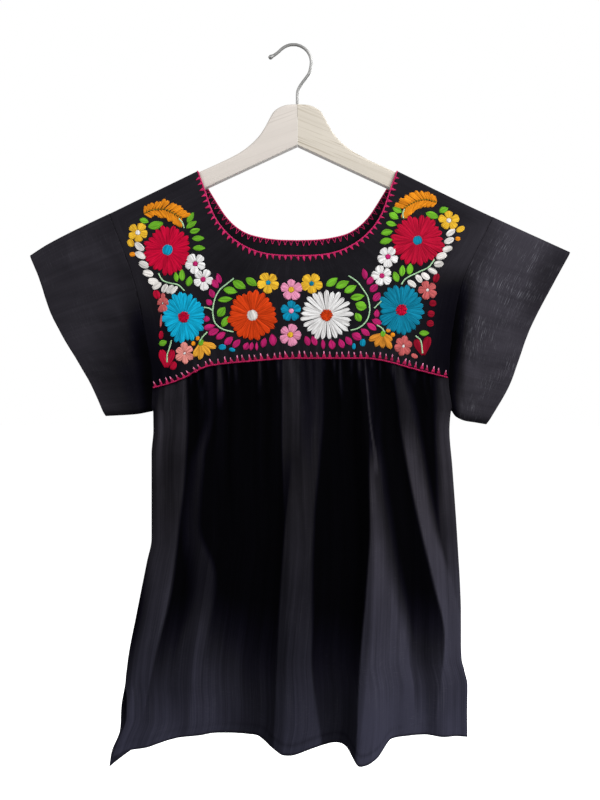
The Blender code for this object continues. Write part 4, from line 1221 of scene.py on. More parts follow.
@dataclass
class Hanger:
    """The wooden hanger and its wire hook."""

    half_span: float = 0.215
    half_depth: float = 0.0061
    apex_drop: float = 0.1151
    underside_slope: float = 0.465
    top_round: float = 0.0045
    foot_round: float = 0.0012
    end_taper: float = 0.009
    wire_radius: float = 0.00175
    bend_radius: float = 0.0205
    stem_in_wood: float = 0.014
    joint: float = 0.00012
    hook_steps: int = 150
    # Rows of (out, drop)
    top: tuple = ((0.0, 0.0673), (0.0115, 0.0680), (0.0195, 0.0705), (0.0265, 0.0752), (0.0295, 0.0792),
                  (0.0325, 0.0850), (0.0365, 0.0925), (0.0430, 0.1025), (0.0520, 0.1122), (0.0625, 0.1205),
                  (0.0745, 0.1275), (0.0885, 0.1343), (0.1145, 0.1461), (0.1450, 0.1609), (0.1750, 0.1755),
                  (0.2050, 0.1900), (0.2300, 0.2021))
    # Rows of (x, z)
    swan_neck: tuple = ((0.0045, -0.0673), (0.0045, -0.0560), (0.0051, -0.0515), (0.0070, -0.0470),
                        (0.0106, -0.0415), (0.0149, -0.0358), (0.0183, -0.0303))
    bend_start: int = -12
    bend_end: int = 132
    # Rows of (way along the end of the hook, how far it turns up, share of the wire's radius)
    tip: tuple = ((0.0045, 0.0, 1.0), (0.0090, 0.0003, 1.0), (0.0125, 0.0009, 1.0), (0.0150, 0.0016, 1.35),
                  (0.0166, 0.0020, 1.5), (0.0182, 0.0024, 1.35), (0.0196, 0.0027, 0.8))

    def ring(self, out: float, count: int = 12) -> list[tuple[float, float]]:
        """The bar's section at one distance out, as (depth, drop)."""
        top = float(Smooth(self.top)(out))
        foot = self.apex_drop + self.underside_slope * out
        taper = max(0.0, (out - self.half_span + self.end_taper) / self.end_taper)
        shrink = math.sqrt(max(0.0, 1 - taper ** 2))
        middle, half_height = (top + foot) / 2, (foot - top) / 2 * mix(0.25, 1.0, shrink)
        half_depth = self.half_depth * mix(0.3, 1.0, shrink)
        points = []
        for corner, (depth_sign, drop_sign) in enumerate(((-1, -1), (1, -1), (1, 1), (-1, 1))):
            radius = (self.top_round if drop_sign < 0 else self.foot_round) * mix(0.3, 1.0, shrink)
            for step in range(count + 1):
                angle = math.pi + math.pi / 2 * (corner + step / count)
                points.append((depth_sign * (half_depth - radius) + radius * math.cos(angle),
                               middle + drop_sign * (half_height - radius) + radius * math.sin(angle)))
        return points

    def build_half(self, side: Side, wood: bpy.types.Material) -> bpy.types.Object:
        """One half of the wooden bar, from the mitred joint to the arm's end.

        Args:
            side: which half.
            wood: its material.

        Returns:
            The piece.
        """
        outs = [*np.linspace(0.0, 0.070, 36), *np.linspace(0.075, self.half_span - self.end_taper, 28)]
        outs += [self.half_span - self.end_taper * (1 - share) for share in (0.25, 0.5, 0.7, 0.85, 0.95, 1.0)]
        mesh = bmesh.new()
        loops = []
        for out in outs:
            ring = self.ring(out)
            circle = bmesh.ops.create_circle(mesh, segments=len(ring), radius=1.0)["verts"]
            for vert, (depth, drop) in zip(circle, ring):
                vert.co = Vector((CUT.centre_x + side * max(out, self.joint), depth, -drop))
            loops.append(circle)
        for near, far in zip(loops, loops[1:]):
            edges = [edge for edge in mesh.edges
                     if all(vert in near for vert in edge.verts) or all(vert in far for vert in edge.verts)]
            bmesh.ops.bridge_loops(mesh, edges=edges)
        for loop in (loops[0], loops[-1]):
            bmesh.ops.contextual_create(mesh, geom=loop)
        bmesh.ops.recalc_face_normals(mesh, faces=mesh.faces)
        half = link(f"hanger_{side.name.lower()}_half", mesh)
        half.data.set_sharp_from_angle(angle=math.radians(40))
        return dress(half, wood)

    def route(self) -> tuple[Array, Array]:
        """Centre line of the wire from the stem's foot to the tip, and its share of the radius."""
        centre_z = self.wire_radius - self.bend_radius
        points = [(CUT.centre_x, -self.top[0][1] - self.stem_in_wood)] + list(self.swan_neck)
        for degrees in range(self.bend_start, self.bend_end + 1, 12):
            angle = math.radians(degrees)
            points.append((self.bend_radius * math.cos(angle), centre_z + self.bend_radius * math.sin(angle)))
        sizes = [1.0] * len(points)
        lead = (-math.sin(math.radians(self.bend_end)), math.cos(math.radians(self.bend_end)))
        start = points[-1]
        for way, lift, size in self.tip:
            points.append((start[0] + lead[0] * way, start[1] + lead[1] * way + lift))
            sizes.append(size)
        return np.array(points), np.array(sizes)

    def build_hook(self, steel: bpy.types.Material) -> bpy.types.Object:
        """The wire hook.

        Args:
            steel: its material.

        Returns:
            The piece.
        """
        points, sizes = self.route()
        length = distances(points)
        ways = np.linspace(0, length[-1], self.hook_steps)
        xs, zs, rs = (Smooth(np.stack([length, column], axis=1))(ways) for column in (*points.T, sizes))
        return dress(tube("hanger_hook_wire", [np.stack([xs, np.zeros_like(xs), zs], axis=1)],
                          self.wire_radius, [rs], 6), steel)

    def build(self) -> list[bpy.types.Object]:
        """Both halves and the hook."""
        halves = [self.build_half(side, Whitewash(side).build()) for side in Side]
        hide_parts("hanger_bar")
        hook = self.build_hook(SteelWire().build())
        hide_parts("hanger_hook")
        return [*halves, hook]


def tube(name: str, routes: Sequence[Array], radius: float, sizes: Sequence[Array],
         sides: int) -> bpy.types.Object:
    """Round thread or wire along one or more routes, as a mesh.

    Args:
        name: the piece's name.
        routes: the points of each centre line.
        radius: half the thickness.
        sizes: for each route, the share of the radius at each point.
        sides: how fine the section is, as a curve's bevel resolution.

    Returns:
        The new object, at the origin.
    """
    curve = bpy.data.curves.new(name + "_line", "CURVE")
    curve.dimensions = "3D"
    curve.bevel_depth = radius
    curve.bevel_resolution = sides
    curve.use_fill_caps = True
    for route, widths in zip(routes, sizes):
        line = curve.splines.new("POLY")
        line.points.add(len(route) - 1)
        line.points.foreach_set("co", np.column_stack([route, np.ones(len(route))]).ravel())
        line.points.foreach_set("radius", np.asarray(widths, dtype=float))
        line.use_smooth = True
    guide = bpy.data.objects.new(name + "_line", curve)
    data = bpy.data.meshes.new_from_object(guide)
    bpy.data.objects.remove(guide)
    bpy.data.curves.remove(curve)
    mesh = bmesh.new()
    mesh.from_mesh(data)
    bpy.data.meshes.remove(data)
    bmesh.ops.remove_doubles(mesh, verts=mesh.verts, dist=1e-7)
    bmesh.ops.recalc_face_normals(mesh, faces=mesh.faces)
    return link(name, mesh)


# The needlework

class Thread(Enum):
    """The colours of thread."""

    RED = (0.52, 0.001, 0.032)
    CRIMSON = (0.455, 0.003, 0.030)
    GARNET = (0.275, 0.003, 0.019)
    AZURE = (0.003, 0.385, 0.620)
    TURQUOISE = (0.002, 0.265, 0.445)
    TEAL = (0.002, 0.200, 0.325)
    ORANGE = (0.61, 0.046, 0.004)
    AMBER = (0.86, 0.26, 0.010)
    WHITE = (0.86, 0.82, 0.81)
    ECRU = (0.74, 0.71, 0.68)
    GREEN = (0.145, 0.42, 0.022)
    MINT = (0.42, 0.68, 0.40)
    OLIVE = (0.30, 0.22, 0.020)
    YELLOW = (0.93, 0.465, 0.030)
    GOLD = (0.91, 0.370, 0.035)
    OCHRE = (0.63, 0.240, 0.025)
    PINK = (0.91, 0.29, 0.46)
    SALMON = (0.93, 0.29, 0.25)
    CORAL = (0.53, 0.110, 0.110)
    MAGENTA = (0.47, 0.014, 0.135)
    CERISE = (0.43, 0.014, 0.085)
    ROSE = (0.57, 0.022, 0.125)
    PALE_ROSE = (0.86, 0.25, 0.42)

    @property
    def label(self) -> str:
        """The colour's name, for a piece."""
        return self.name.lower()


class Outline(Enum):
    """The outlines of a pad of satin stitch."""

    PETAL = "petal"
    BLOSSOM = "blossom"
    LEAF = "leaf"
    OVAL = "oval"
    TOOTH = "tooth"

    def breadth(self, way: Array) -> Array:
        """The share of the full width at each share of the length."""
        if self is Outline.OVAL:
            return np.sqrt(np.clip(1 - (2 * way - 1) ** 2, 0, 1))
        if self is Outline.LEAF:
            return np.sin(math.pi * way ** 0.92) ** 0.80
        if self is Outline.TOOTH:
            return np.minimum(1.0, 0.55 + 5 * way) * (1 - way) ** 0.85
        start, widest = (0.30, 0.80) if self is Outline.PETAL else (0.34, 0.64)
        rising = mix(start, 1.0, np.clip(way / widest, 0, 1) ** (0.9 if self is Outline.PETAL else 0.75))
        return rising * np.sqrt(1 - np.clip((way - widest) / (1 - widest), 0, 1) ** 2)


@dataclass(frozen=True)
class Pad:
    """A pad of satin stitch with its threads laid lengthwise. Places are (out, drop), in millimetres."""

    foot: tuple[float, float]
    turn: float
    length: float
    width: float
    outline: Outline
    height: float = 0.55
    bow: float = 0.0
    lift: float = 0.0

    @classmethod
    def centred(cls, middle: tuple[float, float], turn: float, length: float, width: float,
                outline: Outline, **more: float) -> "Pad":
        """A pad given by its middle.

        Args:
            middle: its middle.
            turn: the way it points, in degrees from the right towards the top.
            length: its length.
            width: its width.
            outline: its outline.
            more: other sizes.

        Returns:
            The pad.
        """
        angle = math.radians(turn)
        foot = (middle[0] - length / 2 * math.cos(angle), middle[1] + length / 2 * math.sin(angle))
        return cls(foot, turn, length, width, outline, **more)

    @classmethod
    def between(cls, foot: tuple[float, float], tip: tuple[float, float], width: float, outline: Outline,
                **more: float) -> "Pad":
        """A pad from its foot to its tip."""
        run, up = tip[0] - foot[0], foot[1] - tip[1]
        return cls(foot, math.degrees(math.atan2(up, run)), math.hypot(run, up), width, outline, **more)


@dataclass
class Needlework:
    """Stitches on a yoke, gathered by colour. Sizes are in millimetres."""

    yoke: Yoke
    thread_width: float = 1.05
    row_length: float = 1.8
    line_step: float = 0.8
    ridge: float = 0.26
    cloth_face: float = 0.4
    sunk_edge: float = 0.25
    hem_depth: float = 0.12
    pads: dict = field(default_factory=dict)
    lines: dict = field(default_factory=dict)
    rng: np.random.Generator = field(default_factory=lambda: np.random.default_rng(5))

    def jitter(self, amount: float) -> float:
        """A small random number."""
        return float(self.rng.uniform(-amount, amount))

    def add(self, thread: Thread, pad: Pad) -> None:
        """Sews a pad.

        Args:
            thread: its colour.
            pad: its shape.
        """
        if thread not in self.pads:
            self.pads[thread] = bmesh.new()
            self.pads[thread].verts.layers.float_vector.new("thread")
        mesh = self.pads[thread]
        layer = mesh.verts.layers.float_vector["thread"]
        threads = max(3, round(pad.width / self.thread_width))
        rows = max(6, min(12, round(pad.length / self.row_length)))
        sewn = bmesh.ops.create_grid(mesh, x_segments=2 * threads, y_segments=rows, size=0.5)["verts"]
        flat = np.array([vert.co[:2] for vert in sewn])
        across, step = flat[:, 0] * 2, flat[:, 1] + 0.5
        out, drop, lift, along = self.lay(pad, across, step, threads)
        points = self.yoke.surface(out / 1000, drop / 1000, lift / 1000)
        seed = self.rng.uniform(0, 50)
        for vert, point, u, v in zip(sewn, points, across * pad.width / 2000, along / 1000):
            vert.co = point
            vert[layer] = (u + seed, v, seed)
        edges = list({edge for vert in sewn for edge in vert.link_edges if edge.is_boundary})
        hem = bmesh.ops.extrude_edge_only(mesh, edges=edges)["geom"]
        middle = self.yoke.surface(np.array([out.mean()]) / 1000, np.array([drop.mean()]) / 1000,
                                   np.array([0.0, 1.0])[:, None])
        inward = Vector((middle[0] - middle[1]).ravel()) * self.hem_depth / 1000
        bmesh.ops.translate(mesh, verts=[part for part in hem if isinstance(part, bmesh.types.BMVert)],
                            vec=inward)
        bmesh.ops.edgeloop_fill(mesh, edges=[part for part in hem if isinstance(part, bmesh.types.BMEdge)])

    def lay(self, pad: Pad, across: Array, step: Array, threads: int) -> tuple[Array, Array, Array, Array]:
        """Lays a pad's threads side by side, each a low ridge, with the edges drawn into the cloth.

        Args:
            pad: its shape.
            across: places from -1 to 1 across it.
            step: places from 0 to 1 along it.
            threads: how many threads lie side by side.

        Returns:
            How far out, how far down, how far off the cloth and how far along each place is.
        """
        way = mix(step, 0.5 - 0.5 * np.cos(math.pi * step), 0.85)
        breadth = np.maximum(pad.outline.breadth(way), 0.06)
        ends = np.clip(4 * way * (1 - way) / 0.45, 0, 1) ** 0.5
        crown = np.clip(1 - across ** 2, 0, 1) ** 0.38
        ridges = (1 - np.cos(math.pi * threads * (across + 1))) / 2
        border = (np.abs(across) > 0.999) | (way < 0.001) | (way > 0.999)
        lift = self.cloth_face + pad.lift + pad.height * crown * (0.35 + 0.65 * ends) + self.ridge * ridges
        lift = np.where(border, self.cloth_face - self.sunk_edge, lift)
        fray = 1 + 0.03 * np.sin(7.0 * across * threads + 40 * pad.foot[0])
        along = way * pad.length * fray
        aside = across * breadth * pad.width / 2 + 4 * pad.bow * pad.length * way * (1 - way)
        angle = math.radians(pad.turn)
        out = pad.foot[0] + along * math.cos(angle) - aside * math.sin(angle)
        drop = pad.foot[1] - along * math.sin(angle) - aside * math.cos(angle)
        return out, drop, lift, along

    def add_line(self, thread: Thread, route: Sequence[tuple[float, float]], radius: float,
                 lift: float | None = None, twist: float = 2.4) -> None:
        """Lays a line of stem stitch.

        Args:
            thread: its colour.
            route: places that it goes through, in millimetres.
            radius: half its thickness.
            lift: how far its middle stands off the cloth's middle, or None to rest on the cloth.
            twist: the length of one stitch.
        """
        places = np.array(route, dtype=float)
        knots = distances(places)
        curves = [Smooth(np.stack([knots, column], axis=1)) for column in places.T]
        length = distances(spaced(places, 24))[-1]
        ways = np.linspace(0, length, max(4, int(length / self.line_step)))
        stand = self.cloth_face + 0.7 * radius if lift is None else lift
        points = self.yoke.surface(curves[0](ways) / 1000, curves[1](ways) / 1000, stand / 1000)
        self.add_route(thread, points, radius, ways, twist)

    def add_route(self, thread: Thread, points: Array, radius: float, ways: Array, twist: float) -> None:
        """Keeps a line of thread given by world points.

        Args:
            thread: its colour.
            points: its middle line.
            radius: half its thickness, in millimetres.
            ways: the distance along it at each point.
            twist: the length of one stitch.
        """
        sizes = radius / 1000 * (1 + 0.16 * np.sin(2 * math.pi * ways / twist))
        routes, widths = self.lines.setdefault(thread, ([], []))
        routes.append(points)
        widths.append(sizes)

    def build(self, prefix: str = "") -> list[bpy.types.Object]:
        """Makes one piece of each colour's pads, and one of its lines.

        Args:
            prefix: goes in front of the pieces' names.

        Returns:
            The pieces.
        """
        pieces = []
        for thread, mesh in self.pads.items():
            bmesh.ops.recalc_face_normals(mesh, faces=mesh.faces)
            piece = link(f"{prefix}{thread.label}_satin_stitch", mesh)
            pieces.append(dress(piece, Floss(f"{thread.label}_floss", thread.value).build()))
        for thread, (routes, widths) in self.lines.items():
            piece = tube(f"{prefix}{thread.label}_line_stitch", routes, 1.0, widths, 1)
            pieces.append(dress(piece, Floss(f"{thread.label}_twist", thread.value, laid=False).build()))
        return pieces


@dataclass(frozen=True)
class Bloom:
    """A flower: its middle, half its width and height, and its colours. Sizes are in millimetres."""

    thread: Thread
    centre_thread: Thread
    middle: tuple[float, float]
    reach: tuple[float, float]
    petals: int
    centre: float
    start: float = 90.0
    gap: float = 0.0
    fullness: float = 1.0
    layered: bool = False
    rough_centre: bool = False
    petal_height: float = 0.6
    centre_height: float = 0.5
    centre_lift: float = 0.45
    centre_stitches: int = 15

    def sew(self, work: Needlework) -> None:
        """Sews the flower's petals and its centre.

        Args:
            work: the needlework that it goes into.
        """
        small = self.petals < 8
        outline = Outline.BLOSSOM if small else Outline.PETAL
        ratio = np.array(self.reach) / max(self.reach)
        foot_reach = self.centre * 0.75 if small else self.centre + self.gap
        for number in range(self.petals):
            angle = math.radians(self.start + 360 * number / self.petals + work.jitter(3 if small else 1.8))
            ray = np.array([math.cos(angle), -math.sin(angle)]) * ratio
            tip = max(self.reach) * (1 + work.jitter(0.055 if small else 0.075))
            room = 2 * tip * math.sin(math.pi / self.petals) * (0.75 if small else 0.90)
            square = float(np.hypot(ray[1] * ratio[0] / ratio[1], ray[0] * ratio[1] / ratio[0]))
            pad = Pad.between(tuple(np.array(self.middle) + foot_reach * ray),
                              tuple(np.array(self.middle) + tip * ray),
                              room * self.fullness * square * (1 + work.jitter(0.07)), outline,
                              height=self.petal_height, lift=0.30 * (number % 2) if self.layered else 0.0)
            work.add(self.thread, pad)
        if self.rough_centre:
            for number in range(self.centre_stitches):
                turn = 360 / self.centre_stitches * number + work.jitter(5)
                angle = math.radians(turn)
                foot = (self.middle[0] + 0.25 * self.centre * math.cos(angle),
                        self.middle[1] - 0.25 * self.centre * math.sin(angle))
                length = self.centre * (0.85 + work.jitter(0.10))
                work.add(self.centre_thread, Pad(foot, turn, length, 0.40 * self.centre, Outline.PETAL,
                                                 height=0.7, lift=self.centre_lift))
        size = 2 * self.centre * (0.75 if self.rough_centre else 1.0)
        work.add(self.centre_thread, Pad.centred(self.middle, 80 + work.jitter(30), size * ratio[1],
                                                 size * ratio[0], Outline.OVAL, height=self.centre_height,
                                                 lift=self.centre_lift))


@dataclass
class FrontPattern:
    """The garland on the front yoke: blossoms, leaves and stems. Places and sizes are in millimetres."""

    rough_gap: float = -0.6
    smooth_gap: float = -2.0
    feather_steps: int = 13
    # Rows of (thread, centre thread, out, drop, half width, half height, petals, centre, start angle,
    # fullness)
    big_flowers: tuple = (
        (Thread.RED, Thread.TURQUOISE, -148, 236, 26.5, 27.5, 25, 6.5, 90, 1.06),
        (Thread.CRIMSON, Thread.TEAL, 137, 225, 30, 28.5, 24, 5.8, 95, 1.06),
        # The right red flower is sewn in CRIMSON, a darker red than the left one's RED: painted shade that
        # evens out the stronger light on the right
        (Thread.AZURE, Thread.RED, -129, 313, 24, 29, 22, 6.2, 85, 1.06),
        (Thread.TEAL, Thread.RED, 118, 305, 25.5, 28.5, 23, 6.2, 90, 1.04),
        (Thread.ORANGE, Thread.ECRU, -51, 311, 28, 28, 23, 6.6, 80, 1.12),
        (Thread.WHITE, Thread.ORANGE, 33, 311, 29.5, 27.5, 25, 6.4, 90, 0.88))
    # Rows of (thread, centre thread, out, drop, half width, half height, petals, centre, start angle)
    small_flowers: tuple = (
        (Thread.YELLOW, Thread.ECRU, -182, 216, 11.5, 11.5, 5, 3.0, 62),
        (Thread.YELLOW, Thread.ECRU, 173, 202, 12, 11, 5, 3.0, 90),
        (Thread.WHITE, Thread.MAGENTA, -116, 252, 12.5, 12, 5, 3.2, 50),
        (Thread.WHITE, Thread.MAGENTA, -107, 270, 12, 12.5, 5, 3.2, 60),
        (Thread.WHITE, Thread.MAGENTA, 103, 244, 12, 12, 5, 3.2, 55),
        (Thread.WHITE, Thread.MAGENTA, 96, 266, 12, 12, 5, 3.0, 35),
        (Thread.YELLOW, Thread.TURQUOISE, -33, 274, 12.5, 12, 5, 2.8, 50),
        (Thread.YELLOW, Thread.TEAL, 16, 275, 12.5, 12, 5, 2.8, 60),
        (Thread.PINK, Thread.YELLOW, -7, 282, 12.5, 12.5, 5, 3.5, 92),
        (Thread.PINK, Thread.YELLOW, -8, 333, 12.5, 12.5, 5, 3.5, 70),
        (Thread.TURQUOISE, Thread.PINK, -7, 306, 12, 12, 5, 3.0, 90),
        (Thread.CORAL, Thread.ECRU, -153, 297, 6, 12, 5, 1.4, 90),
        (Thread.CORAL, Thread.WHITE, 148, 282, 11, 11, 5, 1.8, 110),
        (Thread.SALMON, Thread.WHITE, -128, 354, 11, 12.5, 6, 1.5, 92),
        (Thread.CORAL, Thread.WHITE, 120, 346, 10, 12, 6, 1.8, 75))
    # Rows of (out, drop, length, width, turn)
    leaves: dict = field(default_factory=lambda: {
        Thread.GREEN: (
            (-122, 199, 14.5, 7, 60), (-121, 207, 14.5, 7, 35), (-117, 214, 12.5, 7, 15),
            (-113, 223, 14.5, 7, 0), (-112, 234, 14.5, 7, 0), (-175, 202, 11, 7, -15),
            (-162, 207, 18, 10, 15), (-138, 267, 12, 6, 100), (-131, 265, 14, 7.5, 95),
            (-123, 272, 12.5, 8, 75), (-153, 342, 10, 7.5, 25), (-52, 273, 15.5, 9, -35),
            (-66, 276, 17, 10, -30), (-76, 283, 16.5, 9, -12), (-82, 293, 16.5, 7, 5),
            (-86, 307, 13.5, 10, 50), (-82, 318, 14, 8, 60), (114, 190, 12, 8, -25),
            (110, 197, 12.5, 8.5, -30), (107, 206, 12.5, 7, -10), (102, 216, 14, 8, 10),
            (101, 226, 15, 8, 15), (167, 190, 11.5, 8, 25), (154, 196, 16, 9, -20), (128, 258, 13.5, 8, 80),
            (119, 260, 13.5, 7.5, 85), (112, 267, 13, 8, 110), (144, 331, 12, 7.5, 0), (39, 273, 16, 9, 35),
            (51, 276, 17, 9, 25), (60, 281, 16, 9, 30), (68, 290, 16, 8.5, 10), (72, 300, 13.5, 11.5, 160),
            (69, 313, 11.5, 8.5, 120)),
        Thread.ECRU: (
            (-180, 232, 13.5, 8, 140), (-179, 242, 13.5, 8, 150), (-175, 253, 12.5, 8.5, 155),
            (-170, 263, 12.5, 8.5, 165), (-164, 272, 12.5, 8.5, 170), (-160, 277, 12, 7.5, 35),
            (-151, 280, 11, 7, 65), (-145, 281, 12, 7, 55), (-140, 282, 12, 5.5, 50),
            (175, 216, 12.5, 7, 35), (173, 225, 12.5, 7.5, 25), (171, 235, 12.5, 7.5, 20),
            (164, 243, 13, 8.5, 20), (161, 252, 11.5, 8.5, 10), (154, 260, 12, 7, 150),
            (146, 266, 11.5, 7.5, 140), (138, 269, 11, 7, 130), (130, 275, 12, 7, 145)),
        Thread.MAGENTA: (
            (-89, 269, 12.5, 7, 110), (-94, 275, 12.5, 8, 130), (-97, 286, 11, 7.5, 110),
            (-100, 296, 9, 7.5, 140), (-103, 315, 7.5, 7.5, 90), (-100, 324, 13.5, 7.5, 15),
            (-95, 330, 13.5, 8.5, 25), (-87, 334, 13, 8, 35), (-78, 340, 13, 8, 45),
            (-69, 343, 12.5, 7.5, 50), (-58, 346, 9.5, 7.5, 60), (-52, 346, 10, 5.5, 80),
            (-46, 346, 10, 4, 90), (-38, 342, 12, 7.5, 75), (-28, 339, 14, 9, 97), (76, 264, 13.5, 7, 100),
            (83, 271, 12.5, 7.5, 50), (87, 280, 12.5, 8.5, 45), (90, 290, 12.5, 8.5, 50),
            (90, 309, 9.5, 7, 90), (90, 318, 12, 7.5, 155), (84, 324, 13.5, 7.5, 145),
            (77, 330, 12.5, 7.5, 145), (67, 335, 12.5, 9.5, 150), (58, 340, 12, 7.5, 125),
            (50, 343, 11.5, 7.5, 115), (39, 344, 11.5, 8.5, 100), (29, 344, 11.5, 5.5, 95),
            (19, 340, 12, 7, 115), (11, 340, 12, 7.5, 110))})
    # Rows of (thread, out, drop, length, width, turn)
    buds: tuple = (
        (Thread.YELLOW, -190, 228, 10, 8, -60), (Thread.AMBER, -188, 241, 7, 6, 0),
        (Thread.YELLOW, 186, 212, 11, 7, 30), (Thread.AMBER, 183, 223, 6, 5.5, 0),
        (Thread.CRIMSON, -160, 287, 11, 8.5, 110), (Thread.CRIMSON, -155, 333, 10, 5.5, 85),
        (Thread.CORAL, -155, 317, 15, 3, 85), (Thread.CRIMSON, -141, 368, 10, 8, 60),
        (Thread.GARNET, 158, 268, 11.5, 7.5, 70), (Thread.GARNET, 154, 297, 8.5, 8, 0),
        (Thread.GARNET, 152, 309, 8.5, 8.5, 0), (Thread.GARNET, 151, 320, 8.5, 8, 0),
        (Thread.CORAL, 133, 357, 8.5, 5.5, -25), (Thread.AMBER, -113, 337, 5.5, 4.5, 80),
        (Thread.AMBER, -118, 343, 5.5, 5, 80), (Thread.AMBER, 103, 328, 5.5, 5.5, 0),
        (Thread.AMBER, 108, 333, 5.5, 5.5, 0), (Thread.TURQUOISE, -85, 347, 9, 7, 0),
        (Thread.TURQUOISE, -74, 350, 7.5, 5, -20), (Thread.TURQUOISE, 74, 342, 9, 7, 90),
        (Thread.TURQUOISE, 64, 346, 7.5, 4.5, 90))
    # Tulips: the calyx, then the tips of the petals
    tulips: tuple = (
        ((-109, 342), (-117, 358), (-110, 361), (-99, 356), (-92, 347)),
        ((97, 332), (81, 339), (88, 346), (96, 348), (106, 349), (107, 340)))
    # Hearts: the tops of the two lobes, then the tip
    hearts: tuple = (((-155, 350), (-142, 350), (-149, 370)), ((134, 338), (149, 335), (143, 356)))
    stems: tuple = (
        ((-135, 200), (-131, 205), (-129, 211)),
        ((-158, 263), (-153, 271), (-145, 274), (-136, 276), (-128, 283)),
        ((122, 189), (120, 195), (121, 200)), ((156, 247), (149, 256), (139, 261), (122, 270), (118, 276)),
        ((-72, 269), (-81, 276), (-88, 282), (-94, 294), (-96, 307), (-94, 318), (-84, 327), (-72, 330)),
        ((-96, 306), (-100, 303), (-106, 302)),
        ((58, 266), (68, 273), (74, 281), (80, 291), (82, 304), (80, 314), (73, 323), (65, 327), (60, 328)),
        ((87, 303), (91, 299), (95, 295)), ((-143, 339), (-145, 347), (-148, 357), (-148, 364)),
        ((-102, 330), (-107, 335), (-111, 341)), ((134, 334), (140, 340), (142, 354)),
        ((90, 322), (95, 325), (99, 330)))
    # Feathered leaves: the middle rib, from the tip to the stem
    feathers: tuple = (
        ((-175, 194), (-166, 190), (-153, 189), (-143, 193), (-133, 199)),
        ((159, 181), (146, 178), (136, 180), (128, 184), (122, 188)))

    def sew_feather(self, work: Needlework, rib: Sequence[tuple[float, float]]) -> None:
        """Sews a leaf of slanting stitches to both sides of a rib.

        Args:
            work: the needlework that it goes into.
            rib: the middle rib, from the tip to the stem.
        """
        points = spaced(np.array(rib, dtype=float), self.feather_steps)
        for number, point in enumerate(points):
            before, after = points[max(0, number - 1)], points[min(self.feather_steps, number + 1)]
            heading = math.degrees(math.atan2(before[1] - after[1], after[0] - before[0]))
            share = number / self.feather_steps
            length = mix(6.5, 14.0, math.sin(math.pi * min(1.0, 0.12 + 0.60 * share)))
            for side in Side:
                work.add(Thread.AMBER, Pad(tuple(point), heading + side * (50 + work.jitter(5)),
                                           length * (1 + work.jitter(0.10)), 5.0, Outline.PETAL, height=0.5,
                                           lift=0.1 * (number % 2)))
        work.add_line(Thread.OLIVE, rib, 0.35, 1.3)

    def sew(self, work: Needlework) -> None:
        """Sews the whole garland.

        Args:
            work: the needlework that it goes into.
        """
        for route in self.stems:
            work.add_line(Thread.MINT, route, 0.85)
        for rib in self.feathers:
            self.sew_feather(work, rib)
        for thread, rows in self.leaves.items():
            for out, drop, length, width, turn in rows:
                outline = Outline.LEAF if thread is not Thread.ECRU else Outline.OVAL
                work.add(thread, Pad.centred((out, drop), turn, length, width, outline, height=0.6,
                                             bow=work.jitter(0.03)))
        for thread, out, drop, length, width, turn in self.buds:
            work.add(thread, Pad.centred((out, drop), turn, length, width, Outline.OVAL))
        for calyx, *tips in self.tulips:
            for number, tip in enumerate(tips):
                work.add(Thread.GOLD if calyx[0] < 0 else Thread.OCHRE,
                         Pad.between(calyx, tip, 7.5, Outline.BLOSSOM, lift=0.25 * (number % 2)))
            work.add(Thread.GREEN, Pad.centred(calyx, 70, 8, 6, Outline.OVAL, lift=0.5))
        for left, right, tip in self.hearts:
            for lobe in (left, right):
                work.add(Thread.CRIMSON if tip[0] < 0 else Thread.GARNET,
                         Pad.between(tip, lobe, 10.0, Outline.BLOSSOM))
        for thread, centre_thread, out, drop, half_width, half_height, *rest in self.small_flowers:
            Bloom(thread, centre_thread, (out, drop), (half_width, half_height), *rest).sew(work)
        for thread, centre_thread, out, drop, half_width, half_height, *rest, fullness in self.big_flowers:
            rough = centre_thread in (Thread.RED, Thread.ORANGE)
            Bloom(thread, centre_thread, (out, drop), (half_width, half_height), *rest,
                  gap=self.rough_gap if rough else self.smooth_gap, fullness=fullness,
                  layered=thread is Thread.ORANGE, rough_centre=rough).sew(work)


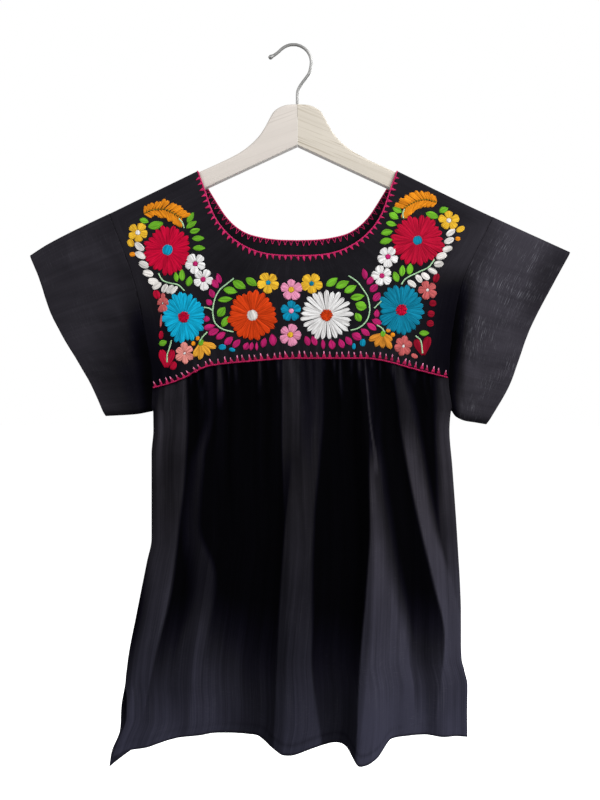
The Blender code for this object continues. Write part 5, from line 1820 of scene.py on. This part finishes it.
@dataclass
class Edging:
    """Blanket stitch round a neckline, and along the gathered seam. Sizes are in millimetres."""

    pitch: float = 7.0
    tooth: tuple = (5.9, 3.9)
    seam_tooth: tuple = (7.0, 4.6)
    rope: float = 0.90
    rope_step: float = 0.8
    rope_twist: float = 3.0
    clear_of_ridge: float = 8.0
    neck_inset: float = 0.4
    neck_lean: float = 8.0
    open_tooth: tuple = (1.9, 0.45)
    seam_ends: float = 1.5
    seam_rise: float = 0.9
    seam_lift: float = 0.8
    seam_lean: float = 6.0

    def neck_places(self, face: Face) -> tuple[Array, Array]:
        """Evenly spaced places along a neckline, clear of the ridge, with the ways that point off it.

        Args:
            face: the front or the back yoke.

        Returns:
            Places as (out, drop), and unit arrows away from the opening, in millimetres.
        """
        table = CUT.neckline[face]
        neck = Smooth(table)
        first, last = table[0][0] + self.clear_of_ridge / 1000, table[-1][0]
        drops = last - (last - first) * np.linspace(1, 0, 500) ** 2
        left = np.stack([-neck(drops), drops], axis=1) * 1000
        line = np.vstack([left, (left * [-1, 1])[-2::-1]])
        length = distances(line)[-1]
        places = spaced(line, round(length / self.pitch))
        ahead = spaced(line, 20 * round(length / self.pitch))
        tangent = np.gradient(ahead, axis=0)[::20]
        arrows = np.stack([-tangent[:, 1], tangent[:, 0]], axis=1)
        return places, arrows / np.linalg.norm(arrows, axis=1)[:, None]

    def sew_neck(self, work: Needlework, face: Face) -> None:
        """Sews filled teeth on the outside of a neckline, and open ones inside the back's.

        Args:
            work: the needlework that they go into.
            face: the front or the back yoke.
        """
        edge = work.yoke.edge_route()
        length = distances(edge)[-1] * 1000
        rope = spaced(edge, int(length / self.rope_step))
        ways = np.linspace(0, length, len(rope))
        work.add_route(Thread.ROSE, rope, self.rope, ways, self.rope_twist)
        for place, arrow in zip(*self.neck_places(face)):
            place = place + arrow * self.neck_inset + work.jitter(0.35)
            lean = work.jitter(7) + self.neck_lean
            turn = math.degrees(math.atan2(-arrow[1], arrow[0])) + lean
            work.add(Thread.ROSE, Pad(tuple(place), turn, self.tooth[0] * (1 + work.jitter(0.12)),
                                      self.tooth[1] * (1 + work.jitter(0.15)), Outline.TOOTH, height=0.5))
            if face == Face.BACK:
                aside = np.array([arrow[1], -arrow[0]])
                tip = place + arrow * self.tooth[0] * (0.95 + work.jitter(0.1)) + aside * work.jitter(0.6)
                for side in Side:
                    foot = place + aside * self.open_tooth[0] * side
                    work.add_line(Thread.ROSE, (tuple(foot), tuple(mix(foot, tip, 0.5)), tuple(tip)),
                                  self.open_tooth[1], -(work.cloth_face + 0.35))

    def sew_seam(self, work: Needlework) -> None:
        """Sews a rope and pale-tipped teeth along the gathered seam.

        Args:
            work: the needlework that they go into.
        """
        table = CUT.seam[Face.FRONT]
        seam = Smooth(table)
        ends = self.seam_ends / 1000
        outs = np.linspace(table[0][0] + ends, table[-1][0] - ends, 400)
        line = np.stack([outs, seam(outs) - self.seam_rise / 1000], axis=1) * 1000
        length = distances(line)[-1]
        rope = spaced(line, int(length / self.rope_step))
        points = work.yoke.surface(rope[:, 0] / 1000, rope[:, 1] / 1000, self.seam_lift / 1000)
        ways = np.linspace(0, length, len(rope))
        work.add_route(Thread.CERISE, points, self.rope, ways, self.rope_twist)
        for place in spaced(line, round(length / self.pitch))[:-1]:
            place = place + np.array([self.pitch / 2 + work.jitter(0.6), -0.5])
            slope = float(seam((place[0] + 1) / 1000) - seam((place[0] - 1) / 1000)) * 500
            turn = 90 - math.degrees(math.atan(slope)) + self.seam_lean + work.jitter(9)
            size = self.seam_tooth[0] * (1 + work.jitter(0.12))
            width = self.seam_tooth[1] * (1 + work.jitter(0.15))
            work.add(Thread.CERISE, Pad(tuple(place), turn, size, width, Outline.TOOTH, height=0.5))
            angle = math.radians(turn)
            high = (place[0] + 0.50 * size * math.cos(angle), place[1] - 0.50 * size * math.sin(angle))
            work.add(Thread.PALE_ROSE, Pad(high, turn, 0.55 * size, 1.5, Outline.OVAL, height=0.3, lift=0.35))


# The studio

@dataclass(frozen=True)
class Studio:
    """The floor, the light and the camera."""

    camera: tuple = (0.0075, -1.25, -0.4069)
    picture_height: float = 0.920
    floor_drop: float = 1.15
    floor_size: float = 30.0
    wall_light: float = 0.30
    aim: tuple = (0.0, 0.0, -0.45)
    # Rows of (name, place, size, power)
    lights: tuple = (("window", (1.6, -1.2, 0.9), 1.2, 55), ("fill", (-1.4, -1.3, 0.5), 1.2, 20),
                     ("bounce", (0.7, -0.8, -1.6), 1.2, 17), ("rear", (0.9, 1.5, 0.4), 1.4, 40))

    def build_camera(self) -> None:
        """A level camera, square to the blouse, in the photograph's portrait frame."""
        data = bpy.data.cameras.new("camera")
        data.sensor_fit = "VERTICAL"
        data.sensor_height = 36.0
        data.lens = data.sensor_height * -self.camera[1] / self.picture_height
        camera = bpy.data.objects.new("camera", data)
        camera.location = self.camera
        camera.rotation_euler = (math.pi / 2, 0, 0)
        bpy.context.collection.objects.link(camera)
        bpy.context.scene.camera = camera

    def build_floor(self) -> None:
        """A plain pale floor, well below the hem."""
        mesh = bmesh.new()
        bmesh.ops.create_grid(mesh, x_segments=1, y_segments=1, size=self.floor_size)
        bmesh.ops.translate(mesh, verts=mesh.verts, vec=(0, 0, -self.floor_drop))
        floor = link("floor", mesh)
        nodes = Nodes("pale_floor")
        nodes.set(Base_Color=(0.90, 0.90, 0.90, 1), Roughness=0.9, Emission_Color=(1, 1, 1, 1),
                  Emission_Strength=0.75)
        floor.data.materials.append(nodes.material)
        floor.visible_diffuse = False
        floor.visible_glossy = False

    def build_world(self) -> None:
        """Soft white light all round, on a plain white wall."""
        world = bpy.data.worlds.new("studio")
        bpy.context.scene.world = world
        world.use_nodes = True
        tree = world.node_tree
        background = tree.nodes["Background"]
        background.inputs["Color"].default_value = (1.0, 1.0, 1.0, 1)
        rays = tree.nodes.new("ShaderNodeLightPath")
        seen = tree.nodes.new("ShaderNodeMapRange")
        seen.inputs["To Min"].default_value = self.wall_light
        seen.inputs["To Max"].default_value = 1.0
        tree.links.new(rays.outputs["Is Camera Ray"], seen.inputs["Value"])
        tree.links.new(seen.outputs["Result"], background.inputs["Strength"])

    def add_light(self, name: str, place: tuple[float, float, float], size: float, power: float) -> None:
        """A square soft light that faces the blouse's middle."""
        data = bpy.data.lights.new(name, "AREA")
        data.size = size
        data.energy = power
        light = bpy.data.objects.new(name, data)
        light.location = place
        light.rotation_euler = (Vector(self.aim) - Vector(place)).to_track_quat("-Z", "Y").to_euler()
        bpy.context.collection.objects.link(light)

    def build(self) -> None:
        """Sets everything up."""
        self.build_camera()
        self.build_floor()
        self.build_world()
        for light in self.lights:
            self.add_light(*light)
        bpy.context.scene.view_settings.view_transform = "Standard"


def main() -> None:
    """Builds the studio and each piece in order, and reports it."""
    Studio().build()
    cotton = BlackCotton().build()
    gathered = BlackCotton("black_cotton_gathered", streaks=0.095).build()
    sleeve_cotton = {
        Side.LEFT: BlackCotton("black_cotton_left_sleeve", weft_slubs=0.16, warp_slubs=0.10).build(),
        Side.RIGHT: BlackCotton("black_cotton_right_sleeve", weft_slubs=0.95, warp_slubs=0.10).build()}
    pieces = Hanger().build()
    for face in Face:
        yoke = Yoke(face)
        work = Needlework(yoke)
        Edging().sew_neck(work, face)
        if face == Face.FRONT:
            Edging().sew_seam(work)
            FrontPattern().sew(work)
        stitches = work.build("back_" if face == Face.BACK else "")
        pieces += [*stitches, yoke.build(cotton, stitches), GatheredPanel(face).build(gathered)]
    pieces += [Sleeve(side).build(sleeve_cotton[side]) for side in Side]
    for piece in pieces:
        LOG.info("built %s with %d faces", piece.name, len(piece.data.polygons))


if __name__ == "__main__":
    logging.basicConfig(level=logging.INFO, format="%(message)s")
    main()
